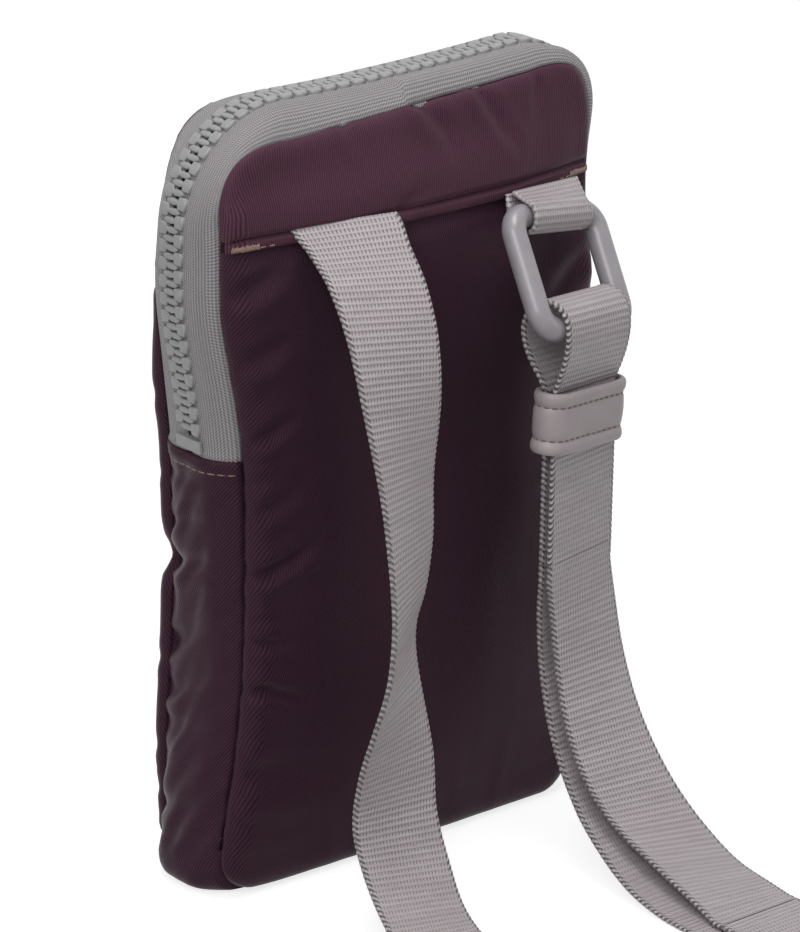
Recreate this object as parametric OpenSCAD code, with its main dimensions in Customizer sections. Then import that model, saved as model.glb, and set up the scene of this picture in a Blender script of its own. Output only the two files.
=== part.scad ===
// A small padded phone pouch on a webbing strap, standing on its base.
// The strap side faces -Y, +X is to the right seen from there, and z = 0 is the base.

/* [Pouch] */
// Width over the side seams
pouch_w = 109.5; // [100:1:116]
// Height from the base to the top of the zip
pouch_h = 186; // [176:1:196]
// Depth between the front seam and the back seam
pouch_d = 24; // [22:1:30]
// Radius of the top corners
top_r = 18; // [14:1:24]
// Radius of the bottom corners
bottom_r = 9; // [7:1:14]
// How far the strap side swells past its seam
back_crown = 6.3; // [4:0.1:7]
// How far the front swells past its seam
front_crown = 6.1; // [4:0.1:8]
// Distance from an end over which a panel swells
crown_rise = 50; // [35:1:60]
// How far the left side is drawn in at the waist
waist_in = 7.2; // [0:0.2:8]
// Share of that waist at the front seam
front_waist_share = 0.65; // [0.5:0.05:1]
// Height of the waist
waist_z = 85; // [75:1:90]

/* [Cloth] */
// Thickness of the outer cloth with its backing
cloth_t = 0.9; // [0.6:0.1:1.2]
// Thickness of the side band with its seam allowance
gusset_t = 1.2; // [0.8:0.1:1.6]
// Thickness of the foam padding
pad_t = 2.5; // [1.5:0.1:3]
// Thickness of the lining
lining_t = 0.4; // [0.3:0.1:0.6]
// Clearance between neighbouring layers
layer_gap = 0.3; // [0.2:0.05:0.4]
// Drop from the top to the yoke's lower edge
yoke_drop = 24; // [20:1:30]
// Drop from the yoke's lower edge to the pocket's hem
hem_drop = 2.6; // [2:0.1:4]

/* [Zip] */
// Height of the zip's two lower ends
zip_z = 108; // [100:1:116]
// Thickness of the zip tape
tape_t = 0.8; // [0.6:0.1:1]
// How far the chain stands out past the seams at the sides
zip_out = 4.3; // [3:0.1:5]
// How far it stands up over them at the top's left end
zip_up = 2.6; // [2:0.1:3.5]
// How far it stands up at the top's right end
zip_up_right = 4.8; // [3:0.1:5]
// Radius of the chain's line at the top's left corner
zip_r = 28; // [25:0.5:30]
// Radius of the chain's line at the top's right corner
zip_r_right = 19; // [18:0.5:25]
// Width of the closed rows of teeth
chain_w = 9; // [7:0.5:10]
// Spacing of the teeth in one row
tooth_pitch = 4.2; // [3.6:0.1:5]
// Thickness of the teeth
tooth_t = 2.6; // [2.4:0.1:3]
// Length of the slider
slider_len = 14; // [11:1:16]
// Wall of the slider's plates
slider_wall = 1.4; // [1:0.1:1.8]
// Length of the puller from its pin
puller_len = 25; // [18:1:30]
// Width of the puller
puller_w = 8; // [6:0.5:10]
// Thickness of the puller
puller_t = 1.8; // [1.4:0.1:2.2]

/* [Strap] */
// Width of the webbing
strap_w = 25; // [22:0.5:26]
// Thickness of the webbing
strap_t = 1.3; // [1:0.1:1.5]
// Clearance between the two layers of the doubled strap
strap_gap = 1.1; // [0.6:0.1:1.6]
// Length of a run in the folded strap
stack_run = 120; // [100:5:160]
// Clearance between runs of the folded strap
stack_gap = 0.5; // [0.45:0.05:0.8]

/* [Ring] */
// Wire diameter of the ring
ring_wire = 5.4; // [4:0.2:5.4]
// Width of the ring between the middles of its legs
ring_w = 32.5; // [32:0.5:35]
// Height of the ring between the middles of its bars
ring_h = 27.5; // [25:0.5:28]
// Corner radius of the ring's middle line
ring_corner = 4.8; // [4:0.2:5.4]
// Turn of the ring about the upright
ring_turn = 12; // [9:1:15]
// Tilt of the ring, its right end down
ring_tilt = 9.5; // [6:0.5:10]
// Lean of the ring away from the pouch
ring_lean = 29.5; // [26:0.5:32]

/* [Keeper] */
// Height of the keeper
keeper_h = 15; // [12:0.5:16]
// Wall of the keeper
keeper_wall = 1.6; // [1.4:0.1:2]
// Drop from the ring's lower bar to the keeper's top
keeper_drop = 14.7; // [14.5:0.1:17]
// Way that the keeper can slide
keeper_travel = 24; // [15:1:25]
// Tilt of the keeper on the strap, its right end down
keeper_tilt = 4; // [0:0.5:5]

/* [Adjuster] */
// Length of the strap adjuster along the strap
adjuster_len = 18; // [17:1:22]
// Diameter of the adjuster's bars
adjuster_bar = 3; // [2.6:0.1:3.2]
// Distance in front of the pouch's middle
adjuster_y = 132; // [130:1:134]

/* [Hidden] */

cloth_colour = [0.25, 0.16, 0.21];
lining_colour = [0.33, 0.30, 0.33];
foam_colour = [0.85, 0.84, 0.80];
tape_colour = [0.54, 0.52, 0.53];
teeth_colour = [0.56, 0.55, 0.55];
webbing_colour = [0.67, 0.63, 0.64];
ring_colour = [0.56, 0.54, 0.56];
leather_colour = [0.55, 0.51, 0.52];

// Overrun of a cut past the solid that it cuts
cut = 1;
half_w = pouch_w / 2;
seam_y = pouch_d / 2;
side_top = pouch_h - top_r;
yoke_z = pouch_h - yoke_drop;

// The waist fades out by this height above and below it
waist_above = 65;
waist_below = waist_z;
waist_ease = 1.6;
crown_power = 2.2;

function waist(z) =
    let (t = z < waist_z ? (waist_z - z) / waist_below : (z - waist_z) / waist_above)
    t >= 1 ? 0 : waist_in * (1 + cos(180 * pow(t, waist_ease))) / 2;
// How much a round corner narrows the outline, for an outline drawn in by e
function corner_in(z, e) =
    z < bottom_r ? bottom_r - e - sqrt(max(0, pow(bottom_r - e, 2) - pow(bottom_r - z, 2)))
    : z > side_top ? top_r - e - sqrt(max(0, pow(top_r - e, 2) - pow(z - side_top, 2)))
    : 0;
function left_x(z, e = 0, share = 1) = -half_w + e + corner_in(z, e) + share * waist(z);
function right_x(z, e = 0) = half_w - e - corner_in(z, e);

// How much of the crown stands at x, z: a parabola across, rising from both ends
function crown_share(x, z, share = 1) =
    let (l = left_x(z, 0, share), middle = (l + right_x(z)) / 2, half = (right_x(z) - l) / 2,
         across = min(1, abs(x - middle) / half),
         near = 1 - min(1, min(z, pouch_h - z) / crown_rise))
    (1 - pow(across, crown_power)) * (1 - near * near);

corner_steps = 5;
side_steps = 8;
across_steps = 14;
function all_rows(e) = concat(
    [for (i = [0 : corner_steps]) e + (bottom_r - e) * (1 - cos(90 * i / corner_steps))],
    [for (i = [1 : side_steps]) bottom_r + (side_top - bottom_r) * i / side_steps],
    [for (i = [1 : corner_steps]) side_top + (top_r - e) * sin(90 * i / corner_steps)]);
function rows(low, high, e) = concat([low],
    [for (z = all_rows(e)) if (z > low + layer_gap && z < high - layer_gap) z], [high]);

// A closed solid through rings that all have the same number of points
module skin(rings) {
    n = len(rings[0]);
    last = len(rings) - 1;
    side = [for (i = [0 : last - 1], j = [0 : n - 1])
        let (k = (j + 1) % n, a = i * n + j, b = i * n + k, c = (i + 1) * n + k, d = (i + 1) * n + j)
        each [[c, b, a], [d, c, a]]];
    half = [for (j = [0 : n / 2 - 2]) [j, j + 1, n - 2 - j, n - 1 - j]];
    polyhedron([for (r = rings) each r],
        concat(side, half, [for (f = half) [for (k = [3 : -1 : 0]) last * n + f[k]]]));
}

// One layer of a swollen side: base is how far its inner face lies past the seam
module crowned_layer(side, crown, base, thick, low = 0, high = pouch_h, e = 0) {
    share = side < 0 ? 1 : front_waist_share;
    skin([for (z = rows(max(low, e), min(high, pouch_h - e), e))
        let (l = left_x(z, e, share), r = right_x(z, e),
             xs = [for (j = [0 : across_steps]) l + (r - l) * (1 - cos(180 * j / across_steps)) / 2],
             near = [for (x = xs) [x, side * (seam_y + base + crown * crown_share(x, z, share)), z]],
             far = [for (p = near) p + [0, side * thick, 0]],
             lower = side < 0 ? far : near, upper = side < 0 ? near : far)
        concat(lower, [for (j = [across_steps : -1 : 0]) upper[j]])]);
}

inner_e = gusset_t + layer_gap;
pocket_base = cloth_t + layer_gap;
pocket_top = yoke_z - hem_drop;

module front_panel() {
    color(cloth_colour) crowned_layer(1, front_crown, 0, cloth_t);
}

module back_panel() {
    color(cloth_colour) crowned_layer(-1, back_crown, 0, cloth_t);
}

module pocket_panel() {
    color(cloth_colour) crowned_layer(-1, back_crown, pocket_base, cloth_t, high = pocket_top);
}

module back_yoke() {
    color(cloth_colour) crowned_layer(-1, back_crown, pocket_base, cloth_t, low = yoke_z);
}

module front_padding() {
    color(foam_colour) crowned_layer(1, front_crown, -layer_gap - pad_t, pad_t, e = inner_e);
}

module back_padding() {
    color(foam_colour) crowned_layer(-1, back_crown, -layer_gap - pad_t, pad_t, e = inner_e);
}

lining_base = -2 * layer_gap - pad_t - lining_t;

module lining() {
    color(lining_colour) {
        crowned_layer(1, front_crown, lining_base, lining_t, e = inner_e);
        crowned_layer(-1, back_crown, lining_base, lining_t, e = inner_e);
        outline_band(gusset_line(1, 0), -inner_e - lining_t, -inner_e,
            -(seam_y + lining_base - layer_gap), seam_y + lining_base - layer_gap);
    }
}

// A line round the pouch above the zip's ends, from the left end over the top to the right end
arc_steps = 12;
zip_low = zip_z + layer_gap;
function zip_line(half, top, r, share, top2, r2) = concat(
    [for (i = [0 : side_steps]) let (z = zip_low + (top - r - zip_low) * i / side_steps)
        [-half + share * waist(z), z]],
    [for (i = [1 : arc_steps - 1]) let (a = 180 - 90 * i / arc_steps)
        [-half + r + r * cos(a), top - r + r * sin(a)]],
    [[-half + r, top], [0, (top + top2) / 2], [half - r2, top2]],
    [for (i = [1 : arc_steps - 1]) let (a = 90 - 90 * i / arc_steps)
        [half - r2 + r2 * cos(a), top2 - r2 + r2 * sin(a)]],
    [for (i = [side_steps : -1 : 0]) [half, zip_low + (top2 - r2 - zip_low) * i / side_steps]]);
zip_x = half_w + zip_out;
zip_side_top = pouch_h + zip_up_right - zip_r_right;
zip_path = zip_line(zip_x, pouch_h + zip_up, zip_r, (1 + front_waist_share) / 2,
    pouch_h + zip_up_right, zip_r_right);

// A line round the pouch below the zip's ends, from the right end round the base to the left
// end. The band swells evenly from the base's corners to the zip
function swell(z) = zip_out * max(0, z - bottom_r) / (zip_z - bottom_r);
function gusset_line(share, out) = concat(
    [for (i = [side_steps : -1 : 0]) let (z = bottom_r + (zip_z - bottom_r) * i / side_steps)
        [half_w + out * swell(z), z]],
    [for (i = [1 : corner_steps]) let (a = -90 * i / corner_steps)
        [half_w - bottom_r + bottom_r * cos(a), bottom_r + bottom_r * sin(a)]],
    [for (i = [0 : corner_steps]) let (a = -90 - 90 * i / corner_steps, z = bottom_r + bottom_r * sin(a))
        [i == 0 ? -half_w + bottom_r : left_x(z, 0, share), z]],
    [for (i = [1 : side_steps]) let (z = bottom_r + (zip_z - bottom_r) * i / side_steps)
        [left_x(z, 0, share) - out * swell(z), z]]);

// The outward normal of a path in the X-Z plane at point i
function path_normal(p, i) =
    let (t = p[min(i + 1, len(p) - 1)] - p[max(i - 1, 0)], n = [-t[1], t[0]]) n / norm(n);

// A band that follows a path, between two offsets and two depths
module outline_band(path, inner, outer, y0, y1) {
    skin([for (i = [0 : len(path) - 1])
        let (p = path[i], n = path_normal(path, i), a = p + outer * n, b = p + inner * n)
        [[a[0], y1, a[1]], [a[0], y0, a[1]], [b[0], y0, b[1]], [b[0], y1, b[1]]]]);
}

// How the band arches over from its seams to the chain: [share of the way to the ridge, share of
// the depth from the middle to the seam]
arch = [[0, 1], [0.62, 0.8], [1, 0.53]];
function on_arch(seams, ridge, i, side, k) =
    let (p = seams[i] + (ridge[i] - seams[i]) * arch[k][0]) [p[0], side * seam_y * arch[k][1], p[1]];

// A wall of the given thickness under rings of outer points, from the front to the back
function walled(outer, path, i, thick) =
    let (n = path_normal(path, i), last = len(outer) - 1)
    concat(outer, [for (k = [last : -1 : 0]) outer[k] - thick * [n[0], 0, n[1]]]);

module side_gusset() {
    front = gusset_line(front_waist_share, 0);
    back = gusset_line(1, 0);
    ridge = gusset_line((1 + front_waist_share) / 2, 1);
    color(cloth_colour) skin([for (i = [0 : len(ridge) - 1])
        walled(concat([for (k = [0 : 2]) on_arch(front, ridge, i, 1, k)],
            [for (k = [2 : -1 : 0]) on_arch(back, ridge, i, -1, k)]), ridge, i, gusset_t)]);
}

// Teeth: an outer block that grips the tape's edge, a neck and an interlocking head
block_share = 0.42;
tip_share = 0.27;
block_len_share = 0.8;
neck_share = 0.3;
head_share = 0.45;
shoulder_shares = [0.8, 0.5, 0.3];
cheek_share = 0.6;
tooth_block_y = block_share * chain_w / 2;
tooth_tip_y = -tip_share * chain_w / 2;
tooth_block = block_len_share * tooth_pitch;
tooth_neck = neck_share * tooth_pitch;
tooth_head = head_share * tooth_pitch;
tape_clear = 0.2;
tape_slot = tape_t + 2 * tape_clear;
tape_edge_y = tooth_block_y + tape_clear;
tooth_top = (tooth_t - tape_t) / 2;

module zip_tape(side) {
    seams = zip_line(half_w, pouch_h, top_r, side < 0 ? 1 : front_waist_share, pouch_h, top_r);
    color(tape_colour) skin([for (i = [0 : len(zip_path) - 1])
        let (edge = [zip_path[i][0], side * tape_edge_y, zip_path[i][1]],
             across = [for (k = [0 : 2]) on_arch(seams, zip_path, i, side, k)])
        walled(side > 0 ? concat(across, [edge]) : concat([edge], [for (k = [2 : -1 : 0]) across[k]]),
            zip_path, i, tape_t)]);
}

module zip_tape_back() { zip_tape(-1); }
module zip_tape_front() { zip_tape(1); }

module tooth_outline() {
    half = [
        [tooth_block / 2, chain_w / 2], [tooth_block / 2, tooth_block_y],
        [tooth_neck / 2, shoulder_shares[0] * tooth_block_y], [tooth_neck / 2, shoulder_shares[1] * tooth_block_y],
        [tooth_head / 2, shoulder_shares[2] * tooth_block_y], [tooth_head / 2, cheek_share * tooth_tip_y],
        [tooth_head / 4, tooth_tip_y]
    ];
    polygon(concat(half, [for (i = [len(half) - 1 : -1 : 0]) [-half[i][0], half[i][1]]]));
}

// The tape's middle lies half its thickness under the outline
module tooth() {
    translate([0, 0, -tape_t / 2]) difference() {
        translate([0, 0, -tooth_t / 2]) linear_extrude(tooth_t) tooth_outline();
        translate([-tooth_pitch / 2, tooth_block_y, -tape_slot / 2])
            cube([tooth_pitch, chain_w / 2, tape_slot]);
    }
}

zip_len = [for (i = 0, s = 0; i < len(zip_path);
    s = s + (i < len(zip_path) - 1 ? norm(zip_path[i + 1] - zip_path[i]) : 0), i = i + 1) s];
zip_total = zip_len[len(zip_len) - 1];
zip_xs = [for (i = [0 : len(zip_path) - 1]) [zip_len[i], zip_path[i][0]]];
zip_zs = [for (i = [0 : len(zip_path) - 1]) [zip_len[i], zip_path[i][1]]];
function zip_at(s) = [lookup(s, zip_xs), lookup(s, zip_zs)];
stop_len = 4;
teeth_start = stop_len + tooth_pitch / 2;
teeth_count = floor((zip_total - 2 * teeth_start - tooth_pitch / 2) / tooth_pitch);

module on_zip(s) {
    p = zip_at(s);
    t = zip_at(s + tooth_pitch / 2) - zip_at(s - tooth_pitch / 2);
    translate([p[0], 0, p[1]]) rotate([0, atan2(-t[1], t[0]), 0]) children();
}

module zip_teeth(phase) {
    color(teeth_colour) for (i = [0 : teeth_count])
        on_zip(teeth_start + (i + phase) * tooth_pitch) mirror([0, phase > 0 ? 0 : 1, 0]) tooth();
}

module zip_teeth_back() { zip_teeth(0); }
module zip_teeth_front() { zip_teeth(0.5); }

// A block across both rows at each end of the zip
module zip_stop() {
    translate([0, 0, -tape_t / 2]) difference() {
        cube([stop_len - tooth_pitch / 4, chain_w, tooth_t], center = true);
        for (side = [-1, 1]) translate([0, side * (tooth_block_y + chain_w / 2), 0])
            cube([stop_len + cut, chain_w, tape_slot], center = true);
    }
}

module zip_stops() {
    color(teeth_colour) for (s = [stop_len / 2, zip_total - stop_len / 2]) on_zip(s) zip_stop();
}

// The slider stands on the right side, just above the stop
slide_clear = 0.3;
slider_z = zip_low + stop_len + layer_gap;
slider_cheek_share = 0.8;
slider_round_share = 0.6;
slider_half_y = chain_w / 2 + slide_clear + slider_wall * slider_cheek_share;
slider_top_x = zip_x - tape_t / 2 + tooth_t / 2 + slide_clear;
slider_bottom_x = zip_x - tape_t / 2 - tooth_t / 2 - slide_clear;
slider_out_x = slider_top_x + slider_wall;
pin_r = 0.8;
eye_bore = pin_r + 0.2;
eye_r = 1.9;
pin_x = slider_out_x + eye_r + slide_clear;
pin_z = slider_z + slider_len / 2;
puller_plate_share = 0.76;
puller_round_share = 0.4;
ear_t = 1.2;
eye_len = 4.2;
slider_travel = zip_side_top - slider_z - slider_len;

module slider_plan(low_x, high_x) {
    translate([low_x, 0, slider_z + slider_len / 2]) rotate([0, 90, 0])
        linear_extrude(high_x - low_x) rounded_rect(slider_len, 2 * slider_half_y, slider_half_y * slider_round_share);
}

module slider_channel(low_x, high_x) {
    translate([low_x, -chain_w / 2 - slide_clear, slider_z - cut])
        cube([high_x - low_x, chain_w + 2 * slide_clear, slider_len + 2 * cut]);
}

module zip_slider() {
    color(ring_colour) {
        difference() {
            slider_plan(zip_x + slide_clear, slider_out_x);
            slider_channel(zip_x - cut, slider_top_x);
        }
        difference() {
            slider_plan(slider_bottom_x - slider_wall, zip_x - tape_t - slide_clear);
            slider_channel(slider_bottom_x, zip_x);
        }
        for (side = [-1, 1]) translate([0, side * (eye_len / 2 + slide_clear / 2 + ear_t / 2), 0])
            slider_ear();
        translate([pin_x, 0, pin_z]) rotate([90, 0, 0])
            cylinder(r = pin_r, h = eye_len + slide_clear + ear_t, center = true, $fn = 32);
    }
}

module slider_ear() {
    translate([pin_x, ear_t / 2, pin_z]) rotate([90, 0, 0]) linear_extrude(ear_t) union() {
        circle(eye_r, $fn = 32);
        translate([slider_out_x - pin_x - slider_wall / 2, -eye_r])
            square([pin_x - slider_out_x + slider_wall / 2, 2 * eye_r]);
    }
}

module zip_puller() {
    color(ring_colour) translate([pin_x, 0, pin_z]) difference() {
        union() {
            rotate([90, 0, 0]) cylinder(r = eye_r, h = eye_len, center = true, $fn = 32);
            translate([-puller_t / 2, -eye_len / 2, -puller_len / 2]) cube([puller_t, eye_len, puller_len / 2]);
            translate([-puller_t / 2, 0, -puller_len * (1 - puller_plate_share / 2)]) rotate([0, 90, 0])
                linear_extrude(puller_t)
                    rounded_rect(puller_len * puller_plate_share, puller_w, puller_w * puller_round_share);
        }
        rotate([90, 0, 0]) cylinder(r = eye_bore, h = eye_len + cut, center = true, $fn = 32);
    }
}

module rounded_rect(w, h, r) {
    square([w - 2 * r, h], center = true);
    square([w, h - 2 * r], center = true);
    for (x = [-1, 1], y = [-1, 1]) translate([x * (w / 2 - r), y * (h / 2 - r)]) circle(r, $fn = 32);
}

// A flat outline of the given thickness round a path in a plane
module flat_ribbon(p, thick) {
    last = len(p) - 1;
    polygon(concat([for (i = [0 : last]) p[i] + path_normal(p, i) * thick / 2],
        [for (i = [last : -1 : 0]) p[i] - path_normal(p, i) * thick / 2]));
}

// The ring hangs at this place in the tab's loop, under the yoke's lower edge
tab_x = 34;
tab_drop = 7.2;
tab_out = 6.5;
tab_y = seam_y + pocket_base + cloth_t / 2 + back_crown * crown_share(tab_x, yoke_z);
ring_at = [tab_x, -tab_y - tab_out, yoke_z - tab_drop];
ring_clear = 0.6;
loop_r = ring_wire / 2 + ring_clear + strap_t / 2;
out_vec = [sin(ring_turn), -cos(ring_turn), 0];
wide_vec = [cos(ring_turn), sin(ring_turn), 0];

// The tab runs from the seam round the ring's upper bar and back. Its path lies in a plane
// of (distance outward, height) from the ring, and it turns from the panel's slope to the ring's
tab_seat = 2.25;
tab_run = tab_out - tab_seat;
tab_reach = norm([tab_run, tab_drop]);
tab_angle = atan2(tab_drop, -tab_run);
tab_wrap = acos(loop_r / tab_reach);
tab_w = ring_w - 2 * ring_corner;
tab_layer = strap_t / 2 + layer_gap / 2;
tab_steps = 10;
tab_seam = [-tab_run, tab_drop - 2 * layer_gap - strap_t];
tab_aside = [tab_drop, tab_run] / tab_reach * tab_layer;
tab_path = concat([tab_seam + tab_aside],
    [for (i = [0 : tab_steps]) let (a = tab_angle - tab_wrap - i * (360 - 2 * tab_wrap) / tab_steps)
        loop_r * [cos(a), sin(a)]],
    [tab_seam - tab_aside]);
tab_seam_turn = 6.5;
tab_seam_tilt = 2;
tab_seam_aside = 2.2;
tab_route = [for (p = tab_path)
    let (t = min(1, max(0, (tab_seam[1] - p[1]) / (tab_seam[1] - loop_r))),
         turn = tab_seam_turn + (ring_turn - tab_seam_turn) * t,
         tilt = tab_seam_tilt + (ring_tilt - tab_seam_tilt) * t)
    concat(ring_at + out_vec * p[0] + [0, 0, p[1]] + wide_vec * tab_seam_aside * (1 - t), [turn, -tilt])];

module ring_tab() {
    color(webbing_colour) swept(tab_route, tab_w);
}

module ring_frame() {
    translate(ring_at) rotate([0, 0, ring_turn]) rotate([0, ring_tilt, 0]) rotate([-ring_lean, 0, 0]) children();
}

module strap_ring() {
    color(ring_colour) ring_frame() translate([0, 0, -ring_h / 2]) for (turn = [0, 180])
        rotate([0, turn, 0]) {
            translate([0, 0, ring_h / 2]) rotate([0, 90, 0])
                cylinder(d = ring_wire, h = ring_w - 2 * ring_corner, center = true, $fn = 32);
            translate([ring_w / 2, 0, 0])
                cylinder(d = ring_wire, h = ring_h - 2 * ring_corner, center = true, $fn = 32);
            for (corner = [0, 1]) mirror([0, 0, corner])
                translate([ring_w / 2 - ring_corner, 0, ring_h / 2 - ring_corner]) rotate([90, 0, 0])
                    rotate_extrude(angle = 90, $fn = 48) translate([ring_corner, 0]) circle(d = ring_wire, $fn = 24);
        }
}

// The middle of the ring's lower bar, and the strap's place on it, moved along it
bar_aside = 0.6;
bar_at = ring_at + out_vec * ring_h * sin(ring_lean)
    - (wide_vec * sin(ring_tilt) + [0, 0, cos(ring_tilt)]) * ring_h * cos(ring_lean) + wide_vec * bar_aside;
// The strap's loop round that bar, as places of (distance outward, height) from it
front_layer = 0.2;
back_layer = front_layer - strap_t - strap_gap;
fold_end = -keeper_drop - keeper_h - keeper_travel - 2 * keeper_wall;
fold_path = [
    [front_layer, fold_end], [front_layer, -16.5], [0.5, -14], [1.6, -11], [2.9, -7], [3.7, -3], [3.8, 0],
    [3.3, 3.4], [1.2, 6], [-2, 6.9], [-5.2, 6.1], [-7.8, 3.8], [-9.1, 0.6], [-9.1, -2.4], [-8.1, -5.6],
    [-6.3, -8.8], [-4.3, -11.4], [-2.8, -13.8], [back_layer, -16.5], [back_layer, fold_end]
];

// A plane that stands upright through the strap on the bar, drawn as (distance outward, height)
module fold_plane() {
    translate(bar_at) rotate([0, 0, ring_turn]) rotate([90, 0, -90])
        linear_extrude(strap_w, center = true) children();
}

module strap_fold() {
    color(webbing_colour) fold_plane() flat_ribbon(fold_path, strap_t);
}

keeper_clear = 0.8;
keeper_in_w = strap_w + 2 * keeper_clear;
keeper_in_d = 2 * strap_t + strap_gap + 2 * keeper_clear;
keeper_round_share = 0.32;
// The middle of the doubled strap at the height of the ring's lower bar
doubled_at = bar_at + out_vec * (front_layer + back_layer) / 2;

module strap_keeper() {
    w = keeper_in_w + 2 * keeper_wall;
    d = keeper_in_d + 2 * keeper_wall;
    color(leather_colour) translate(doubled_at - [0, 0, keeper_drop + keeper_h / 2])
        rotate([0, 0, ring_turn]) rotate([0, keeper_tilt, 0]) linear_extrude(keeper_h, center = true) difference() {
            rounded_rect(w, d, d * keeper_round_share);
            rounded_rect(keeper_in_w, keeper_in_d, keeper_in_d * keeper_round_share / 2);
        }
}

// Webbing swept along a route of [x, y, z, turn of its width about the upright, tilt]
route_steps = 3;
function blend_at(p, i, t) =
    let (n = len(p) - 1, a = p[max(i - 1, 0)], b = p[i], c = p[min(i + 1, n)], d = p[min(i + 2, n)])
    0.5 * (2 * b + (c - a) * t + (2 * a - 5 * b + 4 * c - d) * t * t + (3 * b - a - 3 * c + d) * t * t * t);
function smooth(p) = concat(
    [for (i = [0 : len(p) - 2], k = [0 : route_steps - 1]) blend_at(p, i, k / route_steps)],
    [p[len(p) - 1]]);
// A route's heights, drawn for one height of its upper end and stretched to another
function stretched(route, share) = [for (p = route) [p[0], p[1], p[2] * share, p[3], p[4]]];
function xyz(p) = [p[0], p[1], p[2]];
function unit(v) = v / norm(v);

// Webbing along a smoothed route, with a straight stretch before or after it
module webbing(route, before = [], after = []) {
    color(webbing_colour) swept(concat(before, smooth(route), after), strap_w);
}

module swept(p, width) {
    last = len(p) - 1;
    skin([for (i = [0 : last])
        let (t = unit(xyz(p[min(i + 1, last)]) - xyz(p[max(i - 1, 0)])),
             w0 = [cos(p[i][3]) * cos(p[i][4]), sin(p[i][3]) * cos(p[i][4]), sin(p[i][4])],
             w = unit(w0 - (w0 * t) * t) * width / 2, n = cross(t, unit(w)) * strap_t / 2)
        [for (q = [w + n, -w + n, -w - n, w - n]) xyz(p[i]) + q]]);
}

// The left strap leaves the yoke's lower edge, hangs with a half twist and reaches the floor
left_route = [
    [-24.2, -18.1, 161, -14, 0], [-24.2, -20.9, 159, -18, 0], [-24.2, -25.3, 155, -16, -2],
    [-24.6, -31.3, 149.6, -11.1, -5.1], [-24.7, -36.8, 139, -4.6, -6.6], [-24.3, -39.7, 125, 4.9, -6.7],
    [-23.2, -40.6, 106, 21.3, -5.7], [-22.5, -41.6, 90, 27.3, -3.7], [-23.1, -42.2, 77, 33.6, -1.3],
    [-24.6, -42.2, 68, 38.2, 0.8], [-25.3, -42.2, 60, 35.6, 2.3], [-25.7, -42, 50, 24.5, 1.1],
    [-25.8, -41.6, 36, 6.8, -1.2], [-26.9, -42.8, 24, -0.6, -4.2], [-28, -48.4, 14, -3.6, -7.4],
    [-31.1, -59, 6.2, -1.4, -9], [-35, -74, 2.2, -1.2, -3], [-36, -90, 0.8, 0, 0],
    [-36, -108, 0.8, 0, 0], [-36, -122, 3.6, 0, 0], [-36, -136, 11, 0, 0], [-36, -144, 14.4, 0, 0]
];

left_drawn_z = 162;

module strap_left() {
    webbing(concat(stretched(left_route, yoke_z / left_drawn_z), [[left_x0, -stack_y, stack_level(stack_runs + 1), 0, 0]]));
}

// The doubled strap below the keeper, bending out to the floor
floor_outer_z = 1.5 * strap_t + layer_gap;
floor_inner_z = strap_t / 2;
foot_drop = 5;
foot_drawn_z = 74.3;
foot_share = fold_foot(front_layer)[2] / foot_drawn_z;
function fold_foot(layer) = bar_at + out_vec * layer + [0, 0, fold_end];
function foot_point(layer, drop) = concat(fold_foot(layer) - [0, 0, drop], [ring_turn, 0]);
// Length of the straight stretch where one piece of the strap meets the next
end_run = 3;
outer_route = [
    [35, -37.4, 60.5, 11.1, -0.8], [35.6, -39.8, 47.2, 8.6, -2.1], [34.6, -46.1, 34.5, 4, -2.2],
    [34.8, -54, 23.2, -0.3, -2.6], [36.5, -63.1, 13.7, -2.9, -5.3], [38.6, -76, 6, -3, -9], [38.2, -90, 3, -2, -4]
];
inner_route = [
    [33.5, -34.3, 60, 11.6, -0.3], [33.6, -36, 47, 10, -1], [33, -41.3, 33.5, 7, -1],
    [32.7, -48.5, 22, 4, -1], [32.4, -57.3, 12.6, 2, -1], [31.9, -70.8, 4.4, 1, 0], [31.5, -84, 1.1, 0.5, 0]
];
run_x = 34;
run_y = 100;
// Where the two layers lie on the floor at the end of the hanging stretch
outer_floor_x = 37;
inner_floor_x = 31.4;

// One layer of the hanging strap, from just under the fold to the floor
module hanging_strap(layer, route, x, z) {
    webbing(concat([foot_point(layer, end_run), foot_point(layer, foot_drop)], stretched(route, foot_share),
        [[x, -run_y + end_run, z, 0, 0]]), [foot_point(layer, 2 * layer_gap)], [[x, -run_y, z, 0, 0]]);
}

module strap_right_outer() {
    hanging_strap(front_layer, outer_route, outer_floor_x, floor_outer_z);
}

module strap_right_inner() {
    hanging_strap(back_layer, inner_route, inner_floor_x, floor_inner_z);
}

// The strap adjuster lies on the floor: two outer bars and a middle bar in a frame
adjuster_frame = 3;
adjuster_w = strap_w + 2 * keeper_clear + 2 * adjuster_frame;
adjuster_z = floor_outer_z + strap_t / 2 + layer_gap + adjuster_bar / 2;
bar_pitch = (adjuster_len - adjuster_bar) / 2;
adjuster_near = adjuster_y - adjuster_len / 2;
adjuster_far = adjuster_y + adjuster_len / 2;
run_pad = layer_gap + strap_t;

run_steps = 6;

// One layer of the strap on the floor, easing from x0 to the adjuster's middle
module floor_run(x0, z) {
    from = -run_y - 2 * layer_gap;
    to = -adjuster_near + run_pad;
    color(webbing_colour) swept(concat([[x0, from, z, 0, 0]],
        [for (i = [0 : run_steps]) let (t = i / run_steps)
            [x0 + (run_x - x0) * (1 - cos(180 * t)) / 2, from - end_run + (to - from + 2 * end_run) * t, z, 0, 0]],
        [[run_x, to, z, 0, 0]]), strap_w);
}

module strap_floor_outer() { floor_run(outer_floor_x, floor_outer_z); }
module strap_floor_inner() { floor_run(inner_floor_x, floor_inner_z); }

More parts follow.
